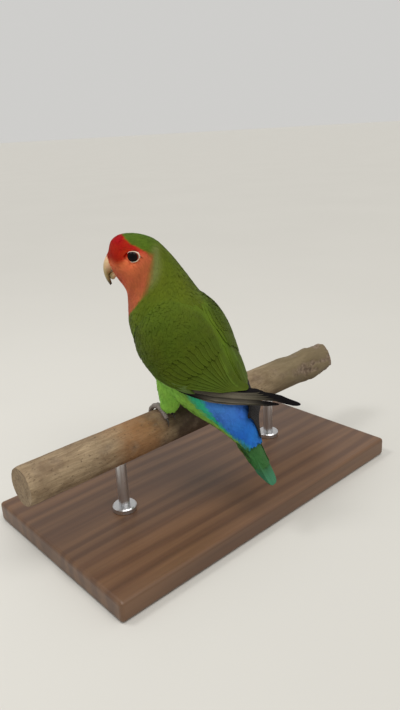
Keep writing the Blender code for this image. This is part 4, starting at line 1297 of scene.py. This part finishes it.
def build_bill():
    """The hooked upper bill with its nostrils, and the lower bill inside it."""
    shade = Shader("bill_horn", 0.38, Specular_IOR_Level=0.4, Coat_Weight=0.15, Coat_Roughness=0.3)
    grow = shade.noise(shade.place((260.0, 260.0, 900.0)), 1.0, 4.0)
    patch = shade.noise(shade.coordinates.outputs["Object"], 320.0, 3.0)
    base = shade.blend(shade.spread(patch, 0.35, 0.65), tint(216, 170, 134), tint(206, 178, 132))
    along = shade.attribute("along")
    colour = shade.blend(shade.spread(along, 0.30, 0.62), base, tint(164, 144, 96))
    colour = shade.blend(shade.spread(along, 0.76, 0.97), colour, tint(50, 40, 32))
    colour = shade.brighten(colour, shade.spread(grow, 0.3, 0.7, 0.9, 1.08))
    # painted shade inside each nostril's hollow
    colour = shade.blend(shade.attribute("shaded_nostril"), colour, tint(58, 36, 28))
    shade.bump(grow, 0.00012, 0.5)
    material = shade.paint(colour)
    for name, rows, sides, length in (("upper_bill", UPPER_BILL, 96, 150), ("lower_bill", LOWER_BILL, 48, 40)):
        shape = ring_prism(sides, length)
        points = shape_points(shape)
        angle = np.arctan2(points[:, 1], points[:, 0])
        row = spline(rows, points[:, 2] * (len(rows) - 1))
        centre = (row[:, 0:2] + row[:, 2:4]) / 2.0
        half = (row[:, 0:2] - row[:, 2:4]) / 2.0
        lines = 1.0 + 0.004 * np.sin(90.0 * points[:, 2]) * smoothstep(0.3, 0.5, points[:, 2])
        places = np.stack((centre[:, 0] + half[:, 0] * np.sin(angle) * lines,
                           row[:, 4] * np.cos(angle) * lines,
                           centre[:, 1] + half[:, 1] * np.sin(angle) * lines), axis=-1)
        middle = np.stack((centre[:, 0], np.zeros(len(centre)), centre[:, 1]), axis=-1)
        shaded_nostril = np.zeros(len(places))
        if name == "upper_bill":
            away = np.linalg.norm(np.abs(places) * (0.0, 1.0, 0.0) + places * (1.0, 0.0, 1.0) - NOSTRIL, axis=-1)
            # the nostril's hollow, dented in and painted dark as shade
            shaded_nostril = smoothstep(NOSTRIL_RADIUS, 0.4 * NOSTRIL_RADIUS, away)
            rim = np.exp(-((away - 1.6 * NOSTRIL_RADIUS) / 0.4) ** 2)
            places += unit(places - middle) * (0.16 * rim - 0.5 * shaded_nostril)[:, None]
        place_points(shape, to_world(turned(places, 1.0)))
        bmesh.ops.recalc_face_normals(shape, faces=shape.faces)
        mesh = bpy.data.meshes.new(name + "_horn")
        shape.to_mesh(mesh)
        shape.free()
        for label, values in (("along", points[:, 2]), ("shaded_nostril", shaded_nostril)):
            layer = mesh.attributes.new(label, "FLOAT", "POINT")
            layer.data.foreach_set("value", values.astype(np.float32))
        mesh.shade_smooth()
        mesh.set_sharp_from_angle(angle=math.radians(50.0))
        finish_piece(name + "_horn", mesh, material, name, name)


def eye_matrix(side):
    """Places a shape made round +Z at the world's origin on an eye's axis."""
    centre, axis = eye_place(side)
    start = Vector(to_world(centre))
    ahead = Vector(to_world(centre + axis)) - start
    return Matrix.Translation(start) @ ahead.to_track_quat("Z", "Y").to_matrix().to_4x4()


def build_eyes():
    """Dark wet eyeballs inside whitish rings of bare skin."""
    shade = Shader("eye_wet", 0.05, Specular_IOR_Level=0.10)
    fleck = shade.noise(shade.coordinates.outputs["Object"], 2400.0, 4.0)
    iris = shade.blend(shade.spread(fleck, 0.3, 0.7), tint(22, 13, 8), tint(12, 7, 5))
    ball = shade.blend(shade.attribute("iris"), tint(4, 4, 5), iris)
    eye = shade.paint(shade.blend(shade.attribute("lidded"), ball, tint(120, 44, 26)))
    shade = Shader("lid_skin", 0.55, Specular_IOR_Level=0.4, Subsurface_Weight=0.15)
    shade.surface.inputs["Subsurface Scale"].default_value = 0.0006
    grain = shade.cells(shade.coordinates.outputs["Object"], 2600.0)
    shade.bump(grain, 0.00012, 0.6)
    lid = shade.paint(shade.blend(shade.spread(grain, 0.0, 0.5), tint(190, 168, 148), tint(212, 195, 174)))
    for side, name in ((1.0, "left"), (-1.0, "right")):
        shape = bmesh.new()
        bmesh.ops.create_uvsphere(shape, u_segments=40, v_segments=28, radius=EYE_RADIUS * MM)
        from_axis = np.hypot(*shape_points(shape)[:, 0:2].T) / MM
        bmesh.ops.transform(shape, matrix=eye_matrix(side), verts=shape.verts)
        mesh = bpy.data.meshes.new("eyeball_" + name)
        shape.to_mesh(mesh)
        shape.free()
        for label, values in (("iris", smoothstep(1.5, 1.8, from_axis)), ("lidded", smoothstep(2.95, 3.05, from_axis))):
            layer = mesh.attributes.new(label, "FLOAT", "POINT")
            layer.data.foreach_set("value", values.astype(np.float32))
        mesh.shade_smooth()
        finish_piece("eyeball_" + name, mesh, eye, "eye_" + name, "eye_" + name)
        build_lid("lids_" + name, side, lid)


LID_PROFILE = (         # share of the ring's width from its inner edge, height over the eyeball
    (-0.02, -0.15), (0.10, 0.22), (0.38, 0.42), (0.72, 0.46), (1.0, 0.20), (1.16, -0.7), (0.45, -0.9),
)


def build_lid(name, side, material):
    """An almond-shaped ring of bare beaded skin that hugs the eyeball."""
    shape = bmesh.new()
    ring = [shape.verts.new((share * MM, 0.0, height * MM)) for share, height in LID_PROFILE]
    for vertex in ring:
        vertex.co.x += 2.0 * MM
    edges = [shape.edges.new((ring[i], ring[(i + 1) % len(ring)])) for i in range(len(ring))]
    bmesh.ops.spin(shape, geom=ring + edges, cent=(0.0, 0.0, 0.0), axis=(0.0, 0.0, 1.0),
                   angle=2.0 * math.pi, steps=72, use_merge=True)
    bmesh.ops.remove_doubles(shape, verts=shape.verts, dist=0.000001)
    places = shape_points(shape) / MM
    round_eye = np.arctan2(places[:, 1], places[:, 0])
    share = np.hypot(places[:, 0], places[:, 1]) - 2.0
    inner, outer = lid_reach(round_eye)
    reach = lerp(inner, outer, share)
    ball = np.sqrt(np.maximum(EYE_RADIUS ** 2 - reach ** 2, 0.4))
    beads = 0.05 * np.sin(30.0 * round_eye) * smoothstep(0.2, 0.6, share) * smoothstep(1.1, 0.8, share)
    placed = np.stack((reach * np.cos(round_eye), reach * np.sin(round_eye), ball + places[:, 2] + beads), axis=-1)
    place_points(shape, placed * MM)
    bmesh.ops.recalc_face_normals(shape, faces=shape.faces)
    bmesh.ops.transform(shape, matrix=eye_matrix(side), verts=shape.verts)
    mesh = bpy.data.meshes.new(name)
    shape.to_mesh(mesh)
    shape.free()
    mesh.shade_smooth()
    finish_piece(name, mesh, material, "head")


# Feet

def on_perch(x, arc, out):
    """World point in mm over the perch: x along it, arc round it from the top, out from it."""
    reach = PERCH_RADIUS + out
    return np.array((x, -reach * math.sin(arc), PERCH_AXIS_Z + reach * math.cos(arc)))


def sleeve(path, radii, sides, name, material, slot, rows_between=4, bumps=None):
    """A closed tube along world points in mm, smoothed, with its own radius at each."""
    count = (len(path) - 1) * rows_between
    shape = ring_prism(sides, count)
    points = shape_points(shape)
    t = points[:, 2] * (len(path) - 1)
    middle = spline(np.array(path), t)
    radius = spline(np.array(radii)[:, None], t)[:, 0]
    step = 0.02
    ahead = unit(spline(np.array(path), np.minimum(t + step, len(path) - 1.0))
                 - spline(np.array(path), np.maximum(t - step, 0.0)))
    across = np.broadcast_to(np.array((1.0, 0.0, 0.0)), ahead.shape)
    across = unit(across - ahead * np.sum(across * ahead, axis=-1, keepdims=True))
    second = np.cross(ahead, across)
    angle = np.arctan2(points[:, 1], points[:, 0])
    if bumps is not None:
        radius = radius * bumps(t, angle)
    places = middle + radius[:, None] * (across * np.cos(angle)[:, None] + second * np.sin(angle)[:, None])
    place_points(shape, places * MM)
    bmesh.ops.recalc_face_normals(shape, faces=shape.faces)
    mesh = bpy.data.meshes.new(name)
    shape.to_mesh(mesh)
    shape.free()
    mesh.shade_smooth()
    mesh.set_sharp_from_angle(angle=math.radians(60.0))
    return finish_piece(name, mesh, material, slot)


def build_feet():
    """Scaled toes that wrap the perch, with dark claws."""
    shade = Shader("foot_scales", 0.5, Specular_IOR_Level=0.4)
    plates = shade.cells(shade.place((1.0, 1.0, 1.0)), 1500.0)
    dust = shade.noise(shade.coordinates.outputs["Object"], 420.0, 3.0)
    colour = shade.blend(shade.spread(plates, 0.0, 0.55), tint(168, 158, 150), tint(116, 104, 98))
    colour = shade.brighten(colour, shade.spread(dust, 0.3, 0.7, 0.85, 1.12))
    shade.bump(shade.math("SUBTRACT", 1.0, plates), 0.0002, 0.8)
    scales = shade.paint(colour)
    shade = Shader("claw_horn", 0.3, Specular_IOR_Level=0.5)
    streak = shade.noise(shade.coordinates.outputs["Object"], 900.0, 3.0)
    claws = shade.paint(shade.blend(shade.spread(streak, 0.3, 0.7), tint(72, 62, 56), tint(44, 38, 34)))
    for side, name in ((1.0, "left"), (-1.0, "right")):
        foot = to_world(np.array((FOOT_PLACE[0], FOOT_PLACE[1] * side, 0.0))) / MM
        ankle = to_world(ANKLE * (1.0, side, 1.0)) / MM
        hock = to_world(lerp(THIGH_TOP, ANKLE, 0.7) * (1.0, side, 1.0)) / MM
        heel = on_perch(foot[0], 0.0, 0.3 + TOE_RADIUS * 1.1)
        sleeve((hock, lerp(ankle, heel, 0.5), heel), (SHANK_RADIUS, SHANK_RADIUS, SHANK_RADIUS * 0.95),
               16, "shank_" + name, scales, "leg_" + name, 6)
        for number, (arc, lean, thickness) in enumerate(TOES):
            build_toe(name, number, foot[0], side, arc, lean, thickness, scales, claws)


def build_toe(name, number, foot_x, side, arc, lean, thickness, scales, claws):
    """One toe of plump joints with cross scutes, and its claw."""
    radius = TOE_RADIUS * thickness
    path = []
    radii = []
    steps = 8
    for k in range(steps + 1):
        t = k / steps
        joint = 1.0 + 0.10 * math.cos(6.0 * math.pi * t)
        path.append(on_perch(foot_x + side * lean * t ** 0.8, arc * t, 0.35 + radius * 1.05))
        radii.append(radius * joint * lerp(1.0, 0.82, t))
    radii[-1] *= 0.8

    def scutes(t, angle):
        return 1.0 + 0.035 * np.abs(np.sin(2.4 * math.pi * t)) * (0.4 + 0.6 * np.clip(np.sin(angle), 0.0, 1.0))

    label = name + "_" + str(number + 1)
    sleeve(path, radii, 20, "toe_" + label, scales, "leg_" + name, 8, scutes)
    path = []
    radii = []
    steps = 5
    for k in range(steps + 1):
        t = k / steps
        size = radius * lerp(0.62, 0.12, t)
        lift = 0.9 * math.sin(math.pi * t)
        here = arc + math.copysign(CLAW_ARC, arc) * (t - 0.08)
        path.append(on_perch(foot_x + side * lean * (1.0 + 0.12 * t), here, 0.35 + size * 1.1 + lift))
        radii.append(size)
    sleeve(path, radii, 14, "claw_" + label, claws, "leg_" + name, 5)


# Perch and stand

def build_perch():
    """A round wooden perch with a fibrous face and a gnawed, thicker far end."""
    shade = Shader("perch_wood", 0.72, Specular_IOR_Level=0.3)
    grain = shade.noise(shade.place((45.0, 260.0, 260.0)), 1.0, 6.0, 0.65, 0.5)
    fibre = shade.noise(shade.place((160.0, 1300.0, 1300.0)), 1.0, 4.0, 0.6)
    speck = shade.noise(shade.place((520.0, 900.0, 900.0)), 1.0, 3.0, 0.6)
    blotch = shade.noise(shade.coordinates.outputs["Object"], 60.0, 5.0, 0.6)
    colour = shade.blend(shade.spread(grain, 0.36, 0.66), tint(154, 134, 106), tint(116, 96, 72))
    colour = shade.blend(shade.spread(blotch, 0.50, 0.70, 0.0, 0.55), colour, tint(98, 76, 56))
    warm = shade.math("ADD", shade.attribute("warmed"), shade.spread(blotch, 0.3, 0.7, -0.2, 0.2))
    colour = shade.blend(shade.spread(warm, 0.2, 1.0, 0.0, 0.7), colour, tint(136, 92, 52))
    colour = shade.brighten(colour, shade.spread(fibre, 0.3, 0.7, 0.84, 1.14))
    pits = shade.spread(speck, 0.60, 0.72, 0.0, 0.75)
    colour = shade.blend(pits, colour, tint(76, 56, 40))
    # darker wood beside and under the feet: partly stain, partly painted shadow cast by the bird
    dark = shade.math("ADD", shade.attribute("stain_and_shadow"), shade.spread(blotch, 0.35, 0.65, -0.25, 0.25))
    colour = shade.blend(shade.spread(dark, 0.22, 0.75, 0.0, 0.9), colour, tint(62, 46, 34))
    # darker and more olive towards the far end
    colour = shade.blend(shade.math("MULTIPLY", shade.attribute("far_end_share"), 0.75), colour, tint(104, 92, 66))
    bare = shade.attribute("gnawed")
    chew = shade.noise(shade.coordinates.outputs["Object"], 420.0, 4.0)
    pale = shade.blend(shade.spread(chew, 0.35, 0.65), tint(138, 120, 100), tint(88, 72, 58))
    colour = shade.blend(bare, colour, pale)
    rough = shade.math("ADD", shade.math("MULTIPLY", grain, 0.7), shade.math("MULTIPLY", fibre, 0.6))
    shade.bump(shade.math("SUBTRACT", rough, shade.math("MULTIPLY", pits, 0.8)), 0.0005, 0.7)
    material = shade.paint(colour)
    shape = ring_prism(72, 240)
    points = shape_points(shape)
    angle = np.arctan2(points[:, 1], points[:, 0])
    x = lerp(PERCH_LOW.x, PERCH_HIGH.x, points[:, 2])
    places = np.stack((x, PERCH_RADIUS * np.cos(angle), PERCH_AXIS_Z + PERCH_RADIUS * np.sin(angle)), axis=-1)
    far = 1.0 - smoothstep(-95.0, -70.0, x)
    wave = 0.6 * np.sin(3.0 * angle + 0.08 * x) + 0.4 * np.sin(0.23 * x)
    reach = PERCH_RADIUS + far * 1.3 * wave
    gnawed = np.zeros(len(x))
    for i, (px, py, pz) in enumerate(places):
        chew = noise.fractal(Vector((px * 0.07, py * 0.12, pz * 0.12)), 1.0, 2.0, 4)
        rough = noise.noise(Vector((px * 0.12, py * 0.5, pz * 0.5)))
        bite = max(0.0, chew - 0.08) * (0.35 + 1.4 * far[i])
        reach[i] += -1.1 * bite + 0.10 * rough
        gnawed[i] = min(1.0, bite * 2.2)
    under_foot = np.exp(-((x - FEET_X) / 22.0) ** 2)
    reach = lerp(reach, np.minimum(reach, PERCH_RADIUS), under_foot)
    rounded = 1.0 - 0.05 * np.exp(-(PERCH_HIGH.x - np.abs(x)) / 1.2)
    places[:, 1] = reach * np.cos(angle) * rounded
    places[:, 2] = PERCH_AXIS_Z + reach * np.sin(angle) * rounded
    place_points(shape, places * MM)
    bmesh.ops.recalc_face_normals(shape, faces=shape.faces)
    mesh = bpy.data.meshes.new("perch_branch")
    shape.to_mesh(mesh)
    shape.free()
    # painted shadow from the bird together with a stain, darkest beside the feet
    stain_and_shadow = np.exp(-((x - STAIN_AND_SHADOW_X) / 22.0) ** 2)
    warmed = np.exp(-((x - WARM_X) / 20.0) ** 2)
    # rises towards the far end, where the wood is darker and more olive
    far_end_share = smoothstep(-30.0, -80.0, x)
    for label, values in (("gnawed", gnawed), ("stain_and_shadow", stain_and_shadow), ("warmed", warmed), ("far_end_share", far_end_share)):
        layer = mesh.attributes.new(label, "FLOAT", "POINT")
        layer.data.foreach_set("value", values.astype(np.float32))
    mesh.shade_smooth()
    mesh.set_sharp_from_angle(angle=math.radians(45.0))
    finish_piece("perch_branch", mesh, material, "perch", "perch")


def dress_stand():
    """Varnished wood on the base and brushed steel on the rods."""
    shade = Shader("base_wood", 0.42, Specular_IOR_Level=0.4, Coat_Weight=0.2, Coat_Roughness=0.3)
    rings = shade.bands(shade.place((3.0, 26.0, 14.0)), 1.0, 9.0, "Y")
    grain = shade.noise(shade.place((12.0, 320.0, 320.0)), 1.0, 6.0)
    colour = shade.blend(shade.spread(rings, 0.2, 0.8), tint(104, 74, 50), tint(88, 60, 40))
    colour = shade.brighten(colour, shade.spread(grain, 0.3, 0.7, 0.82, 1.15))
    shade.bump(grain, 0.0002, 0.4)
    wood = shade.paint(colour)
    shade = Shader("rod_steel", 0.3, Metallic=1.0)
    brushed = shade.noise(shade.place((1500.0, 1500.0, 50.0)), 1.0, 4.0)
    shade.bump(brushed, 0.000006, 0.15)
    steel = shade.paint(shade.blend(shade.spread(brushed, 0.3, 0.7), (0.60, 0.60, 0.61), (0.66, 0.66, 0.67)),
                        shade.spread(brushed, 0.3, 0.7, 0.27, 0.33))
    for name, material in (("stand_base", wood), ("stand_rod_near", steel), ("stand_rod_far", steel)):
        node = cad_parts[name]
        node.data.materials.clear()
        node.data.materials.append(material)


# Floor, light and camera

FOCAL_PIXELS = 624.0            # in the 400 x 710 picture
PICTURE_HEIGHT = 710.0
SENSOR = 36.0
EYE_POINT = np.array((231.6, 264.5, 215.9))
CAMERA_RIGHT = np.array((-0.7351, 0.6759, -0.0528))
CAMERA_UP = -np.array((0.2667, 0.2167, -0.9390))
CAMERA_BACK = -np.array((-0.6233, -0.7045, -0.3397))
SURROUND = (0.62, 0.615, 0.60)
KEY_POWER = 1.5
KEY_FROM = (0.05, 0.55, 1.10)


def build_stage():
    """A pale floor."""
    shade = Shader("floor_paper", 0.9, Specular_IOR_Level=0.2)
    soft = shade.noise(shade.coordinates.outputs["Object"], 4.0, 3.0)
    shade.paint(shade.blend(shade.spread(soft, 0.3, 0.7), tint(205, 203, 197), tint(203, 201, 195)))
    shape = bmesh.new()
    bmesh.ops.create_circle(shape, cap_ends=True, segments=64, radius=60.0)
    mesh = bpy.data.meshes.new("floor")
    shape.to_mesh(mesh)
    shape.free()
    mesh.materials.append(shade.material)
    floor = bpy.data.objects.new("floor", mesh)
    floor.location.z = -0.0002
    bpy.context.scene.collection.objects.link(floor)


def add_light(name, place, aim, size, power, colour=(1.0, 1.0, 1.0)):
    """A soft square lamp, with places in mm."""
    lamp = bpy.data.lights.new(name, "AREA")
    lamp.size = size * MM
    lamp.energy = power
    lamp.color = colour
    item = bpy.data.objects.new(name, lamp)
    item.location = Vector(place) * MM
    item.rotation_euler = (Vector(aim) - Vector(place)).to_track_quat("-Z", "Y").to_euler()
    bpy.context.scene.collection.objects.link(item)


def build_lights():
    """A broad soft key from above and behind the camera, a window and a pale surround."""
    key = bpy.data.lights.new("key", "SUN")
    key.energy = KEY_POWER
    key.angle = math.radians(40.0)
    key.color = (1.0, 0.985, 0.96)
    item = bpy.data.objects.new("key", key)
    item.rotation_euler = Vector(KEY_FROM).to_track_quat("Z", "Y").to_euler()
    bpy.context.scene.collection.objects.link(item)
    add_light("window", (260.0, -140.0, 560.0), (15.0, 5.0, 130.0), 130.0, 0.9, (1.0, 1.0, 1.0))
    world = bpy.data.worlds.new("studio")
    world.use_nodes = True
    sky = world.node_tree.nodes["Background"]
    sky.inputs["Color"].default_value = (*SURROUND, 1.0)
    sky.inputs["Strength"].default_value = 1.0
    bpy.context.scene.world = world


def build_camera():
    """The photo's viewpoint."""
    lens = bpy.data.cameras.new("camera")
    lens.sensor_fit = "AUTO"
    lens.sensor_width = SENSOR
    lens.lens = SENSOR * FOCAL_PIXELS / PICTURE_HEIGHT
    lens.clip_start = 0.005
    item = bpy.data.objects.new("camera", lens)
    axes = Matrix((CAMERA_RIGHT, CAMERA_UP, CAMERA_BACK)).transposed()
    item.matrix_world = Matrix.Translation(Vector(EYE_POINT * MM)) @ axes.to_4x4()
    bpy.context.scene.collection.objects.link(item)
    bpy.context.scene.camera = item


bpy.context.scene.view_settings.view_transform = "Standard"
SOFT_FEATHER = feather_material("soft_feather", 7.0, -0.05, 0.06)
STIFF_FEATHER = feather_material("stiff_feather", 22.0, -0.16, 0.05)
build_skin()
build_body_coats(SOFT_FEATHER)
build_thigh_coats(SOFT_FEATHER)
build_wing("left", 1.0, LEFT_WING_EDGE, LEFT_WING_BACK, LEFT_REACH, PRIMARIES, PRIMARY_PLACES,
           SOFT_FEATHER, STIFF_FEATHER)
build_wing("right", -1.0, RIGHT_WING_EDGE, RIGHT_WING_BACK, RIGHT_REACH, CROSSED_PRIMARIES,
           RIGHT_PRIMARY_PLACES, SOFT_FEATHER, STIFF_FEATHER)
build_tail(SOFT_FEATHER, STIFF_FEATHER)
build_bill()
build_eyes()
build_feet()
build_perch()
dress_stand()
build_stage()
build_lights()
build_camera()
